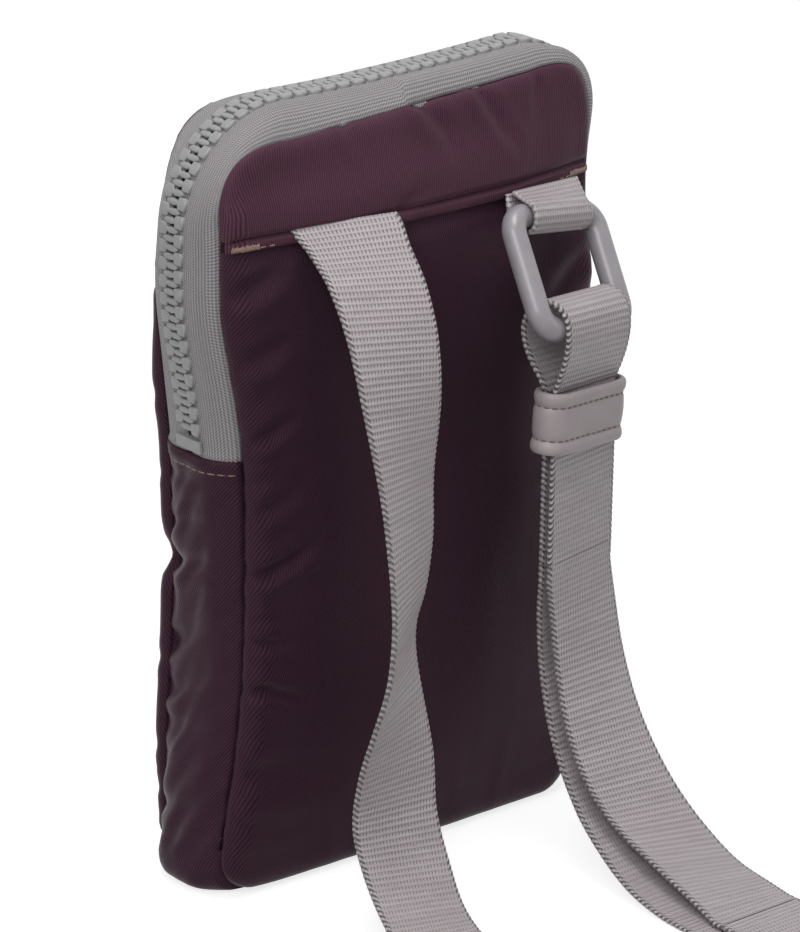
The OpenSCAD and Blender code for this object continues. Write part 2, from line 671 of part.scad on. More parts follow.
module strap_adjuster() {
    color(ring_colour) translate([run_x, -adjuster_y, adjuster_z]) {
        for (k = [-1, 0, 1]) translate([0, k * bar_pitch, 0]) rotate([0, 90, 0])
            cylinder(d = adjuster_bar, h = adjuster_w - adjuster_frame, center = true, $fn = 32);
        for (side = [-1, 1]) translate([side * (adjuster_w - adjuster_frame) / 2, 0, 0])
            rotate([90, 0, 0]) cylinder(d = adjuster_frame, h = adjuster_len - adjuster_bar, center = true, $fn = 32);
        for (x = [-1, 1], y = [-1, 1])
            translate([x * (adjuster_w - adjuster_frame) / 2, y * bar_pitch, 0]) sphere(d = adjuster_frame, $fn = 32);
    }
}

// A plane along the strap, drawn as (distance from the adjuster's middle, height)
module strap_plane() {
    translate([run_x, -adjuster_y, 0]) rotate([90, 0, 90]) linear_extrude(strap_w, center = true) children();
}

wrap_r = adjuster_bar / 2 + layer_gap + strap_t / 2;
pass_r = wrap_r + strap_t + layer_gap;
near_end = adjuster_len / 2 + layer_gap + strap_t / 2;
wrap_steps = 8;
wrap_from = -60;
wrap_turn = 240;
pass_wide = pass_r + strap_t / 5;
pass_round = pass_r * 0.72;
pass_low = bar_pitch - strap_t / 2;
far_z = floor_outer_z - strap_t / 5;

// The strap's sewn end comes in low, goes round the middle bar and lies back on itself
module strap_sewn_end() {
    color(webbing_colour) strap_plane() flat_ribbon(concat(
        [[near_end, floor_inner_z], [wrap_r, floor_inner_z]],
        [for (i = [0 : wrap_steps]) let (a = wrap_from - i * wrap_turn / wrap_steps)
            [0, adjuster_z] + wrap_r * [cos(a), sin(a)]]), strap_t);
}

// The running strap goes under the near bar, over the middle bar and under the far bar
module strap_pass() {
    color(webbing_colour) strap_plane() flat_ribbon([
        [near_end, floor_outer_z], [pass_low, floor_outer_z], [pass_wide, adjuster_z],
        [pass_round, adjuster_z + pass_round], [0, adjuster_z + pass_r], [-pass_round, adjuster_z + pass_round],
        [-pass_wide, adjuster_z], [-pass_low, floor_outer_z], [-near_end, far_z]
    ], strap_t);
}

// The rest of the strap lies folded to and fro, low on the floor
stack_y = 150;
stack_runs = 7;
stack_step = strap_t + stack_gap;
function stack_level(k) = strap_t / 2 + k * stack_step;
left_x0 = -36;

module strap_floor_single() {
    webbing([[run_x, -adjuster_far - run_pad, far_z, 0, 0],
        [run_x, -stack_y + 3 * strap_t, (far_z + floor_inner_z) / 2, 0, 0], [run_x, -stack_y + layer_gap, floor_inner_z, 0, 0]]);
}

module stack_piece(x0, x1, k) {
    translate([min(x0, x1), stack_level(k) - strap_t / 2]) square([abs(x1 - x0), strap_t]);
}

module stack_bend(side, k) {
    translate([side * stack_run / 2, stack_level(k) + stack_step / 2]) intersection() {
        difference() {
            circle((stack_step + strap_t) / 2, $fn = 32);
            circle((stack_step - strap_t) / 2, $fn = 32);
        }
        translate([side * stack_step, 0]) square(2 * stack_step, center = true);
    }
}

// A corner where the strap is folded over itself to turn square
module stack_corner(x, side, k) {
    rise = stack_step + strap_t;
    translate([x, -stack_y, stack_level(k) - strap_t / 2]) mirror([side < 0 ? 1 : 0, 0, 0]) {
        for (z = [0, stack_step]) translate([0, 0, z]) linear_extrude(strap_t)
            polygon([[-strap_w / 2, 0], [strap_w / 2, 0], [strap_w / 2, -strap_w]]);
        linear_extrude(rise) polygon([[-strap_w / 2, 0], [strap_w / 2, -strap_w],
            [strap_w / 2, -strap_w + strap_t], [-strap_w / 2 + strap_t, 0]]);
    }
}

module strap_stack() {
    color(webbing_colour) {
        translate([0, -stack_y, 0]) rotate([90, 0, 0]) linear_extrude(strap_w) {
            stack_piece(run_x - strap_w / 2, -stack_run / 2, 1);
            for (k = [2 : stack_runs - 1]) stack_piece(-stack_run / 2, stack_run / 2, k);
            stack_piece(left_x0 + strap_w / 2, stack_run / 2, stack_runs);
            for (k = [1 : stack_runs - 1]) stack_bend(k % 2 == 1 ? -1 : 1, k);
        }
        stack_corner(run_x, -1, 0);
        stack_corner(left_x0, 1, stack_runs);
    }
}

echo("Least gap between runs of the folded strap", stack_step - strap_t);

front_panel();
back_panel();
pocket_panel();
back_yoke();
side_gusset();
front_padding();
back_padding();
lining();
zip_tape_back();
zip_tape_front();
zip_teeth_back();
zip_teeth_front();
zip_stops();
zip_slider();
zip_puller();
ring_tab();
strap_ring();
strap_keeper();
strap_left();
strap_fold();
strap_right_outer();
strap_right_inner();
strap_floor_outer();
strap_floor_inner();
strap_adjuster();
strap_pass();
strap_sewn_end();
strap_floor_single();
strap_stack();
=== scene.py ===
"""A padded phone pouch with a wrap-round zip, a slip pocket and a crossbody strap, dressed in
cloth, webbing, leather and moulded zip teeth. Lengths are in millimetres until a piece is made."""
import math

import bmesh
import bpy
from mathutils import Matrix, Vector, noise
from mathutils.bvhtree import BVHTree


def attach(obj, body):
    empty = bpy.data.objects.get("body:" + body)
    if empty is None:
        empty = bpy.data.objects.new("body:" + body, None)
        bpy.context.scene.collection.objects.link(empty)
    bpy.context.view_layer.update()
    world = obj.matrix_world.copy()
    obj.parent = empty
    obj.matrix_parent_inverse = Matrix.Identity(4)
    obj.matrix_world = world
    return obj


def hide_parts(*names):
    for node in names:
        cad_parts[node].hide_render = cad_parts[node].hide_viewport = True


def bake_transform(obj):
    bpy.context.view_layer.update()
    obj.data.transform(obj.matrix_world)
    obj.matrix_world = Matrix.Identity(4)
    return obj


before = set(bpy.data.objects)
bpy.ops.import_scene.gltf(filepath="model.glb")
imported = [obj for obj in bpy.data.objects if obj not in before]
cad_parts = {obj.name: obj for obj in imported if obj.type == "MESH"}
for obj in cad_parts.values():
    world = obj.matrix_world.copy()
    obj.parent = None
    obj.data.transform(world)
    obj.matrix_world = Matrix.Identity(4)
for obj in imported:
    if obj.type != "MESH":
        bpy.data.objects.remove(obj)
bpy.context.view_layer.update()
MM = 0.001

# Sizes, as in the part's source
POUCH_W, POUCH_H, SEAM_Y = 109.5, 186.0, 12.0
HALF_W = POUCH_W / 2
TOP_R, BOTTOM_R = 18.0, 9.0
SIDE_TOP = POUCH_H - TOP_R
BACK_CROWN, FRONT_CROWN, CROWN_RISE, CROWN_POWER = 6.3, 6.1, 50.0, 2.2
WAIST_IN, WAIST_Z, WAIST_ABOVE, WAIST_EASE = 7.2, 85.0, 65.0, 1.6
WAIST_SHARE = {-1: 1.0, 0: 0.825, 1: 0.65}
CLOTH_T, GUSSET_T, PAD_T, LINING_T, GAP = 0.9, 1.2, 2.5, 0.4, 0.3
YOKE_Z, HEM_DROP, ZIP_Z = 162.0, 2.6, 108.0
ZIP_X = HALF_W + 4.3
ZIP_TOP, ZIP_R = {-1: POUCH_H + 2.6, 1: POUCH_H + 4.8}, {-1: 28.0, 1: 19.0}
TAPE_T, CHAIN_W, TOOTH_PITCH, TOOTH_T, STOP_LEN = 0.8, 9.0, 4.2, 2.6, 4.0
STRAP_W, STRAP_T = 25.0, 1.3
RING_WIRE, RING_W, RING_H, RING_CORNER = 5.4, 32.5, 27.5, 4.8
RING_TURN, RING_TILT, RING_LEAN = (math.radians(a) for a in (12.0, 9.5, 29.5))
KEEPER_H, KEEPER_WALL, KEEPER_DROP, KEEPER_CLEAR = 15.0, 1.6, 14.7, 0.8
KEEPER_TILT = math.radians(5)
STACK_Y, STACK_RUNS, STACK_STEP, STACK_RUN = 150.0, 7, 1.8, 120.0
ADJUSTER_Y, RUN_X, RUN_Y = 132.0, 34.0, 100.0
FLOOR_OUTER_Z, FLOOR_INNER_Z = 1.5 * STRAP_T + GAP, STRAP_T / 2


# Camera

# What the camera looks at and how far off it stands, in metres, with its angles in degrees
LOOK_AT, DISTANCE = Vector((0.00877, 0, 0.09084)), 1.0755
TURN, RISE, ROLLED, LENS = -40, 20, 0.95, 173.82


def placed(name, data):
    """A new object in the scene."""
    made = bpy.data.objects.new(name, data)
    bpy.context.scene.collection.objects.link(made)
    return made


def aim_camera():
    """The camera at the photograph's angle: from the strap side, left of it and a little above."""
    turn, rise, roll = (math.radians(a) for a in (TURN, RISE, ROLLED))
    back = Vector((math.sin(turn) * math.cos(rise), -math.cos(turn) * math.cos(rise), math.sin(rise)))
    right = Vector((math.cos(turn), math.sin(turn), 0))
    up = back.cross(right)
    side = right * math.cos(roll) + up * math.sin(roll)
    top = up * math.cos(roll) - right * math.sin(roll)
    lens = bpy.data.cameras.new("camera")
    lens.lens, lens.sensor_width, lens.sensor_fit = LENS, 36, "AUTO"
    lens.clip_start, lens.clip_end = 0.05, 20
    camera = placed("camera", lens)
    facing = Matrix((side, top, back)).transposed().to_4x4()
    camera.matrix_world = Matrix.Translation(LOOK_AT + back * DISTANCE) @ facing
    bpy.context.scene.camera = camera


aim_camera()


# Materials

def linear(colour):
    """An sRGB hex colour as linear red, green, blue and 1."""
    parts = [int(colour[i:i + 2], 16) / 255 for i in (1, 3, 5)]
    return (*(c / 12.92 if c <= 0.04045 else ((c + 0.055) / 1.055) ** 2.4 for c in parts), 1)


def node(tree, kind, links=None, **settings):
    """Adds a node. Settings whose name is an attribute are set on it, and links fills its inputs by
    name or number, from a node's first output, from another output or with a plain value."""
    made = tree.nodes.new(kind)
    for name, value in settings.items():
        setattr(made, name, value)
    for name, value in (links or {}).items():
        if isinstance(value, bpy.types.Node):
            value = value.outputs[0]
        if isinstance(value, bpy.types.NodeSocket):
            tree.links.new(value, made.inputs[name])
        else:
            made.inputs[name].default_value = value
    return made


def finish(name, shader):
    """An empty material with a Principled shader that has these plain values."""
    made = bpy.data.materials.new(name)
    made.use_nodes = True
    tree = made.node_tree
    tree.nodes.clear()
    surface = node(tree, "ShaderNodeBsdfPrincipled", shader)
    node(tree, "ShaderNodeOutputMaterial", {"Surface": surface})
    return made, tree, surface


def dress(tree, surface, colour, bump):
    """Gives a shader its colour, from a mix of two, and its bumps."""
    tree.links.new(colour.outputs[2], surface.inputs["Base Color"])
    tree.links.new(bump.outputs[0], surface.inputs["Normal"])


# Pitches of the patterns: the cloth's ribs and the threads that break them up, the zip tape's stitches
# along it, across it and where they turn over, and the webbing's warp, weft and edge knots
RIB, RIB_BREAK = 0.55, 1.4
TAPE_STITCH, TAPE_ROW, TAPE_TURN = 0.7, 0.62, 2.4
WARP, WEFT, EDGE_KNOT = 0.95, 1.5, 1.5


def satin_twill(name, dark, ground, lit):
    """Satin-faced nylon twill: fine slanted ribs, each painted from its ground colour to a painted highlight,
    the lit colour, along its crest, and a soft shine from the shader on the crest of each fold. The real ribs
    are 0.35 mm apart and are drawn at 0.55 mm, so that they show."""
    made, tree, surface = finish(name, {
        "Roughness": 0.38, "Specular IOR Level": 0.1, "Specular Tint": linear("#d08a98"),
        "Sheen Weight": 0.1, "Sheen Roughness": 0.3, "Sheen Tint": linear("#8a4460")})
    place = node(tree, "ShaderNodeUVMap", uv_map="cloth")
    apart = node(tree, "ShaderNodeSeparateXYZ", {0: place})
    wobble = node(tree, "ShaderNodeTexNoise", {"Vector": place, "Scale": 90.0, "Detail": 2.0})
    shift = node(tree, "ShaderNodeMath", {0: wobble, 1: 0.0012}, operation="MULTIPLY")
    across = node(tree, "ShaderNodeMath", {0: apart.outputs[0], 1: shift}, operation="ADD")
    phase = node(tree, "ShaderNodeMath", {0: across, 1: 2 * math.pi / (RIB * MM)}, operation="MULTIPLY")
    wave = node(tree, "ShaderNodeMath", {0: phase}, operation="SINE")
    # Threads break each rib up every 1.4 mm or so
    breaks = (1 / (RIB * MM), 1 / (RIB_BREAK * MM), 1)
    scaled = node(tree, "ShaderNodeMapping", {"Vector": place, "Scale": breaks})
    threads = node(tree, "ShaderNodeTexNoise", {"Vector": scaled, "Scale": 1.0, "Detail": 1.0})
    rib = node(tree, "ShaderNodeMath", {0: wave, 1: threads}, operation="MULTIPLY")
    # Each rib is painted as a stripe, from the ground colour to a painted highlight in the lit colour along
    # its crest
    light = node(tree, "ShaderNodeMapRange", {0: rib, 1: -0.6, 2: 0.6, 3: 0.15, 4: 0.85})
    patches = node(tree, "ShaderNodeTexNoise", {"Vector": place, "Scale": 30.0, "Detail": 3.0})
    ground = node(tree, "ShaderNodeMix", {0: patches, 6: linear(dark), 7: linear(ground)}, data_type="RGBA")
    lit = node(tree, "ShaderNodeMix", {0: light, 6: ground.outputs[2], 7: linear(lit)}, data_type="RGBA")
    height = node(tree, "ShaderNodeMath", {0: rib, 1: 0.5}, operation="MULTIPLY")
    bump = node(tree, "ShaderNodeBump", {"Strength": 0.45, "Distance": 0.0001, "Height": height})
    dress(tree, surface, lit, bump)
    return made


def plain_weave(name, low, high, pitch, rough):
    """Plain woven cloth: threads over and under each other, seen as small raised squares, painted lighter on
    top as a painted highlight and darker between as painted shade.
    """
    made, tree, surface = finish(name, {"Roughness": rough, "Sheen Weight": 0.15, "Sheen Roughness": 0.5})
    place = node(tree, "ShaderNodeTexCoord").outputs["Object"]
    scaled = node(tree, "ShaderNodeVectorMath", {0: place, 1: (math.pi / pitch,) * 3},
                  operation="MULTIPLY")
    apart = node(tree, "ShaderNodeSeparateXYZ", {0: scaled})
    warp = node(tree, "ShaderNodeMath", {0: apart.outputs[0]}, operation="SINE")
    weft = node(tree, "ShaderNodeMath", {0: apart.outputs[2]}, operation="SINE")
    both = node(tree, "ShaderNodeMath", {0: warp, 1: weft}, operation="MULTIPLY")
    level = node(tree, "ShaderNodeMapRange", {0: both, 1: -1.0, 2: 1.0})
    # The raised squares painted lighter and the hollows darker: painted light and shade
    colour = node(tree, "ShaderNodeMix", {0: level, 6: linear(low), 7: linear(high)}, data_type="RGBA")
    bump = node(tree, "ShaderNodeBump", {"Strength": 0.5, "Distance": 0.0001, "Height": level})
    dress(tree, surface, colour, bump)
    return made


def herringbone_tape():
    """Woven polyester zip tape: rows of slanted stitches that turn over every 2.4 mm, dull, with painted
    shade between the stitches and a painted highlight where the thread stands up."""
    made, tree, surface = finish("woven zip tape", {
        "Roughness": 0.7, "Sheen Weight": 0.2, "Sheen Roughness": 0.4})
    place = node(tree, "ShaderNodeUVMap", uv_map="cloth")
    apart = node(tree, "ShaderNodeSeparateXYZ", {0: place})
    folded = node(tree, "ShaderNodeMath", {0: apart.outputs[1], 1: TAPE_TURN * MM}, operation="PINGPONG")
    slant = node(tree, "ShaderNodeMath", {0: apart.outputs[0], 1: folded}, operation="ADD")
    phase = node(tree, "ShaderNodeMath", {0: slant, 1: 2 * math.pi / (TAPE_STITCH * MM)},
                 operation="MULTIPLY")
    wave = node(tree, "ShaderNodeMath", {0: phase}, operation="SINE")
    cross_phase = node(tree, "ShaderNodeMath", {0: apart.outputs[1], 1: 2 * math.pi / (TAPE_ROW * MM)},
                       operation="MULTIPLY")
    cross_wave = node(tree, "ShaderNodeMath", {0: cross_phase}, operation="SINE")
    both = node(tree, "ShaderNodeMath", {0: wave, 1: cross_wave}, operation="ADD")
    level = node(tree, "ShaderNodeMapRange", {0: both, 1: -1.6, 2: 1.9})
    # Painted light and shade: darker between the stitches, lighter where the thread stands up
    colour = node(tree, "ShaderNodeMix", {0: level, 6: linear("#676366"), 7: linear("#a9a5a7")},
                  data_type="RGBA")
    bump = node(tree, "ShaderNodeBump", {"Strength": 0.8, "Distance": 0.0002, "Height": level})
    dress(tree, surface, colour, bump)
    return made


def ribbed_webbing():
    """Woven nylon webbing: flat ribs across it every 1.5 mm, warp threads 0.95 mm apart with painted shade in
    the grooves between them, seen as darker dashes, and a bound selvage along each edge, with painted shade
    between its knots. It has a slight silky shine, and stripes of painted sheen across it."""
    made, tree, surface = finish("woven nylon webbing", {
        "Roughness": 0.44, "Sheen Weight": 0.3, "Sheen Roughness": 0.3, "Sheen Tint": linear("#fff4f0")})
    place = node(tree, "ShaderNodeUVMap", uv_map="cloth")
    apart = node(tree, "ShaderNodeSeparateXYZ", {0: place})
    slant = node(tree, "ShaderNodeMath", {0: apart.outputs[1], 1: 0.12}, operation="MULTIPLY")
    leaning = node(tree, "ShaderNodeMath", {0: apart.outputs[0], 1: slant}, operation="ADD")
    warp_phase = node(tree, "ShaderNodeMath", {0: leaning, 1: 2 * math.pi / (WARP * MM)},
                      operation="MULTIPLY")
    warp = node(tree, "ShaderNodeMath", {0: warp_phase}, operation="COSINE")
    weft_phase = node(tree, "ShaderNodeMath", {0: apart.outputs[1], 1: 2 * math.pi / (WEFT * MM)},
                      operation="MULTIPLY")
    weft = node(tree, "ShaderNodeMath", {0: weft_phase}, operation="COSINE")
    groove = node(tree, "ShaderNodeMapRange", {0: warp, 1: 0.2, 2: 1.0}, clamp=True)
    dip = node(tree, "ShaderNodeMapRange", {0: weft, 1: -0.8, 2: 0.6}, clamp=True)
    # Where the warp's grooves cross the weft's dips: sunk in the bumps, and painted darker there as painted
    # shade
    groove_relief_and_shade = node(tree, "ShaderNodeMath", {0: groove, 1: dip}, operation="MULTIPLY")
    # Painted sheen: soft lighter and darker stripes across the strap, a few millimetres apart
    sheen_band_stretch = node(tree, "ShaderNodeMapping", {"Vector": place, "Scale": (60.0, 420.0, 1.0)})
    sheen_bands = node(tree, "ShaderNodeTexNoise", {"Vector": sheen_band_stretch, "Scale": 1.0, "Detail": 2.0})
    ground = node(tree, "ShaderNodeMix", {0: sheen_bands, 6: linear("#a0979a"), 7: linear("#c0b7ba")},
                  data_type="RGBA")
    groove_shaded = node(tree, "ShaderNodeMix", {0: groove_relief_and_shade, 6: ground.outputs[2], 7: linear("#827a7d")},
                  data_type="RGBA")
    # The selvage, along the outer 1 mm of each edge: light knots, with painted shade in the dark gaps between
    # them
    from_middle = node(tree, "ShaderNodeMath", {0: apart.outputs[0]}, operation="ABSOLUTE")
    edge = node(tree, "ShaderNodeMath", {0: from_middle, 1: 0.0115}, operation="GREATER_THAN")
    knot_lean = node(tree, "ShaderNodeMath", {0: from_middle, 1: 0.9}, operation="MULTIPLY")
    knot_run = node(tree, "ShaderNodeMath", {0: apart.outputs[1], 1: knot_lean}, operation="ADD")
    knot_phase = node(tree, "ShaderNodeMath", {0: knot_run, 1: 2 * math.pi / (EDGE_KNOT * MM)},
                      operation="MULTIPLY")
    knot_wave = node(tree, "ShaderNodeMath", {0: knot_phase}, operation="SINE")
    knot = node(tree, "ShaderNodeMapRange", {0: knot_wave, 1: -0.3, 2: 0.5}, clamp=True)
    selvage = node(tree, "ShaderNodeMix", {0: knot, 6: linear("#544e50"), 7: linear("#b3abac")},
                   data_type="RGBA")
    colour = node(tree, "ShaderNodeMix", {0: edge, 6: groove_shaded.outputs[2], 7: selvage.outputs[2]},
                  data_type="RGBA")
    rise = node(tree, "ShaderNodeMath", {0: weft, 1: -0.3}, operation="MULTIPLY")
    height = node(tree, "ShaderNodeMath", {0: rise, 1: groove_relief_and_shade}, operation="SUBTRACT")
    bump = node(tree, "ShaderNodeBump", {"Strength": 0.9, "Distance": 0.0003, "Height": height})
    dress(tree, surface, colour, bump)
    return made


def clouded(name, shader, scale, detail, low, high, strength):
    """A finish whose colour drifts softly between two, and stands up a little where it is lighter."""
    made, tree, surface = finish(name, shader)
    place = node(tree, "ShaderNodeTexCoord").outputs["Object"]
    cloud = node(tree, "ShaderNodeTexNoise", {"Vector": place, "Scale": scale, "Detail": detail})
    colour = node(tree, "ShaderNodeMix", {0: cloud, 6: linear(low), 7: linear(high)}, data_type="RGBA")
    bump = node(tree, "ShaderNodeBump", {"Strength": strength, "Distance": 0.0001, "Height": cloud})
    dress(tree, surface, colour, bump)
    return made


def smooth_leather():
    """Coated cowhide: a fine closed grain of about 0.6 mm cells and a low even shine."""
    made, tree, surface = finish("coated smooth leather", {"Roughness": 0.44})
    place = node(tree, "ShaderNodeTexCoord").outputs["Object"]
    cells = node(tree, "ShaderNodeTexVoronoi", {"Vector": place, "Scale": 1600.0},
                 feature="DISTANCE_TO_EDGE")
    grain = node(tree, "ShaderNodeMapRange", {0: cells, 1: 0.0, 2: 0.25}, clamp=True)
    cloud = node(tree, "ShaderNodeTexNoise", {"Vector": place, "Scale": 160.0, "Detail": 3.0})
    colour = node(tree, "ShaderNodeMix", {0: cloud, 6: linear("#9a9093"), 7: linear("#aa9fa1")},
                  data_type="RGBA")
    bump = node(tree, "ShaderNodeBump", {"Strength": 0.12, "Distance": 0.0001, "Height": grain})
    dress(tree, surface, colour, bump)
    return made


def spun_thread(name, low, high):
    """Spun polyester sewing thread: two plies twisted together, matt and slightly fuzzy."""
    made, tree, surface = finish(name, {"Roughness": 0.75, "Sheen Weight": 0.3})
    place = node(tree, "ShaderNodeTexCoord").outputs["Object"]
    twist = node(tree, "ShaderNodeTexNoise", {"Vector": place, "Scale": 2600.0, "Detail": 1.0})
    colour = node(tree, "ShaderNodeMix", {0: twist, 6: linear(low), 7: linear(high)}, data_type="RGBA")
    tree.links.new(colour.outputs[2], surface.inputs["Base Color"])
    return made


# The last colour of each cloth is the painted highlight along the ribs' crests
CLOTH = satin_twill("satin nylon twill", "#1c121a", "#291b24", "#4a3240")
# The same cloth cut along its ribs, with each colour painted lighter and a brighter painted highlight:
# painted light for the yoke, which slopes up towards the lamps
YOKE_CLOTH_PAINTED_LIT = satin_twill("satin nylon twill, cut upright and painted lit", "#241722", "#372431", "#62414f")
LINING = plain_weave("woven lining", "#4a4448", "#5f585d", 0.0005, 0.8)
FOAM = plain_weave("fleeced foam", "#cfccc2", "#dedbd2", 0.0012, 0.95)
TAPE = herringbone_tape()
WEBBING = ribbed_webbing()
# Zip teeth, injection moulded: smooth and slightly waxy, with faint flow marks
ACETAL = clouded("moulded acetal", {"Roughness": 0.38, "IOR": 1.48}, 700.0, 2.0, "#8a8a8b", "#9b9b9c", 0.15)
# Cast zinc under a satin grey lacquer: even in colour, a soft gloss, worn a little lighter
ZINC = clouded("satin lacquered zinc", {"Roughness": 0.33, "Coat Weight": 0.25, "Coat Roughness": 0.25},
               260.0, 4.0, "#8b868c", "#9c979c", 0.06)
LEATHER = smooth_leather()
BROWN_THREAD = spun_thread("brown polyester thread", "#5a4038", "#a5877a")
GREY_THREAD = spun_thread("grey polyester thread", "#4e4442", "#8a7c78")


# Making pieces

def meshed(name, bm):
    """A mesh from a bmesh, which is then freed."""
    mesh = bpy.data.meshes.new(name)
    bm.to_mesh(mesh)
    bm.free()
    return mesh


def piece(name, bm, material, body, slot, *nodes):
    """Turns a bmesh in millimetres into an object that rides on a body and stands for nodes."""
    bmesh.ops.scale(bm, vec=(MM,) * 3, verts=bm.verts)
    mesh = meshed(name, bm)
    mesh.polygons.foreach_set("use_smooth", [True] * len(mesh.polygons))
    mesh.materials.append(material)
    made = placed(name, mesh)
    if body:
        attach(made, body)
    if nodes:
        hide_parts(*nodes)
    return made


def walled(made, thick):
    """Gives a piece's open sheet a wall behind it."""
    wall = made.modifiers.new("wall", "SOLIDIFY")
    wall.thickness, wall.offset = thick * MM, -1


def grid(columns, rows, place, uv=None):
    """A grid of columns by rows cells, its point (i, j) moved to place(i, j), with a UV in metres."""
    bm = bmesh.new()
    bmesh.ops.create_grid(bm, x_segments=columns, y_segments=rows, size=0.5)
    spots = {v: (round((v.co.x + 0.5) * columns), round((v.co.y + 0.5) * rows)) for v in bm.verts}
    layer = bm.loops.layers.uv.new("cloth")
    for face in bm.faces:
        for loop in face.loops:
            i, j = spots[loop.vert]
            loop[layer].uv = [c * MM for c in (uv(i, j) if uv else place(i, j)[:2])]
    for v, (i, j) in spots.items():
        v.co = place(i, j)
    return bm


def close_up(bm):
    """Merges the doubles of a rolled-up grid, fills what is left open and turns its faces outwards."""
    bmesh.ops.remove_doubles(bm, verts=bm.verts, dist=0.002)
    bmesh.ops.holes_fill(bm, edges=[e for e in bm.edges if e.is_boundary], sides=0)
    bmesh.ops.recalc_face_normals(bm, faces=bm.faces)
    return bm


def joined(parts):
    """One bmesh from several."""
    whole = bmesh.new()
    for part in parts:
        kept = meshed("part", part)
        whole.from_mesh(kept)
        bpy.data.meshes.remove(kept)
    return whole


def repeated(shape, places):
    """Copies of a small shape at each place, as one bmesh."""
    mesh = meshed("shape", shape)
    whole = bmesh.new()
    for place in places:
        before = len(whole.verts)
        whole.from_mesh(mesh)
        whole.verts.ensure_lookup_table()
        bmesh.ops.transform(whole, matrix=place, verts=whole.verts[before:])
    bpy.data.meshes.remove(mesh)
    bmesh.ops.recalc_face_normals(whole, faces=whole.faces)
    return whole


def run_along(points):
    """How far along a line each of its points is."""
    run = [0.0]
    for a, b in zip(points, points[1:]):
        run.append(run[-1] + (b - a).length)
    return run


def point_at(points, run, s):
    """The point of a line at a distance along it."""
    k = max(i for i, r in enumerate(run[:-1]) if r <= max(s, 0))
    return points[k].lerp(points[k + 1], (s - run[k]) / max(run[k + 1] - run[k], 1e-9))


def stitched(line, pitch, length, radius):
    """A row of stitches along a line of points: short rounded threads, sunk by half."""
    run = run_along(line)
    count = max(1, round(run[-1] / pitch))
    pitch = run[-1] / count
    bead = bmesh.new()
    bmesh.ops.create_uvsphere(bead, u_segments=8, v_segments=6, radius=1)
    places = []
    for i in range(count):
        a, b = (point_at(line, run, min(s, run[-1] - 1e-6)) for s in (pitch * i, pitch * i + length))
        along = b - a
        turn = along.to_track_quat("X", "Z").to_matrix().to_4x4()
        size = Matrix.Diagonal((along.length * 0.56, radius, radius, 1))
        places.append(Matrix.Translation((a + b) / 2) @ turn @ size)
    return repeated(bead, places)


# The pouch's outline and sides

def waist(z):
    t = (WAIST_Z - z) / WAIST_Z if z < WAIST_Z else (z - WAIST_Z) / WAIST_ABOVE
    return 0.0 if t >= 1 else WAIST_IN * (1 + math.cos(math.pi * t ** WAIST_EASE)) / 2


def corner_in(z, e=0.0):
    if z < BOTTOM_R:
        return BOTTOM_R - e - math.sqrt(max(0, (BOTTOM_R - e) ** 2 - (BOTTOM_R - z) ** 2))
    if z > SIDE_TOP:
        return TOP_R - e - math.sqrt(max(0, (TOP_R - e) ** 2 - (z - SIDE_TOP) ** 2))
    return 0.0


def left_x(z, e=0.0, side=-1):
    """The left seam at a height: the front's has less of a waist than the back's."""
    return -HALF_W + e + corner_in(z, e) + WAIST_SHARE[side] * waist(z)


def right_x(z, e=0.0):
    return HALF_W - e - corner_in(z, e)


def crown_share(side, x, z):
    left = left_x(z, 0, side)
    middle, half = (left + right_x(z)) / 2, (right_x(z) - left) / 2
    near = 1 - min(1, min(z, POUCH_H - z) / CROWN_RISE)
    return (1 - min(1, abs(x - middle) / half) ** CROWN_POWER) * (1 - near * near)


def inside_by(side, x, z):
    """How far x, z lies in from the outline."""
    low, high = WAIST_SHARE[side] * waist(z) - HALF_W, HALF_W
    r = BOTTOM_R if z < POUCH_H / 2 else TOP_R
    from_end = min(z, POUCH_H - z)
    from_side = min(x - low, high - x)
    if from_end < r and from_side < r:
        return r - math.hypot(r - from_end, r - from_side)
    return min(from_end, from_side)


def spread(low, high, count):
    return [low + (high - low) * i / count for i in range(count)]


def eased(t):
    t = min(1.0, max(0.0, t))
    return t * t * (3 - 2 * t)


# Heights of the rows, close at the corners, with a row on each seam
ROWS = ([BOTTOM_R * (1 - math.cos(math.pi / 2 * i / 12)) for i in range(12)] + spread(BOTTOM_R, ZIP_Z, 84)
        + spread(ZIP_Z, YOKE_Z - HEM_DROP, 42) + spread(YOKE_Z - HEM_DROP, YOKE_Z, 4)
        + spread(YOKE_Z, SIDE_TOP, 6)
        + [SIDE_TOP + TOP_R * math.sin(math.pi / 2 * i / 18) for i in range(19)])
COLUMNS = 96
SHARES = [0.55 * j / COLUMNS + 0.45 * (1 - math.cos(math.pi * j / COLUMNS)) / 2 for j in range(COLUMNS + 1)]
ACROSS = 24

# The rolled edge of each side: how far it reaches in, its radius and where its roll starts. What
# the roll leaves of a side's whole depth is its crown
EDGE = 5.0
ROLL = {-1: (2.3, -45, 8.4), 1: (3.1, -55, 8.2)}


def hump(t):
    return math.exp(-t * t)


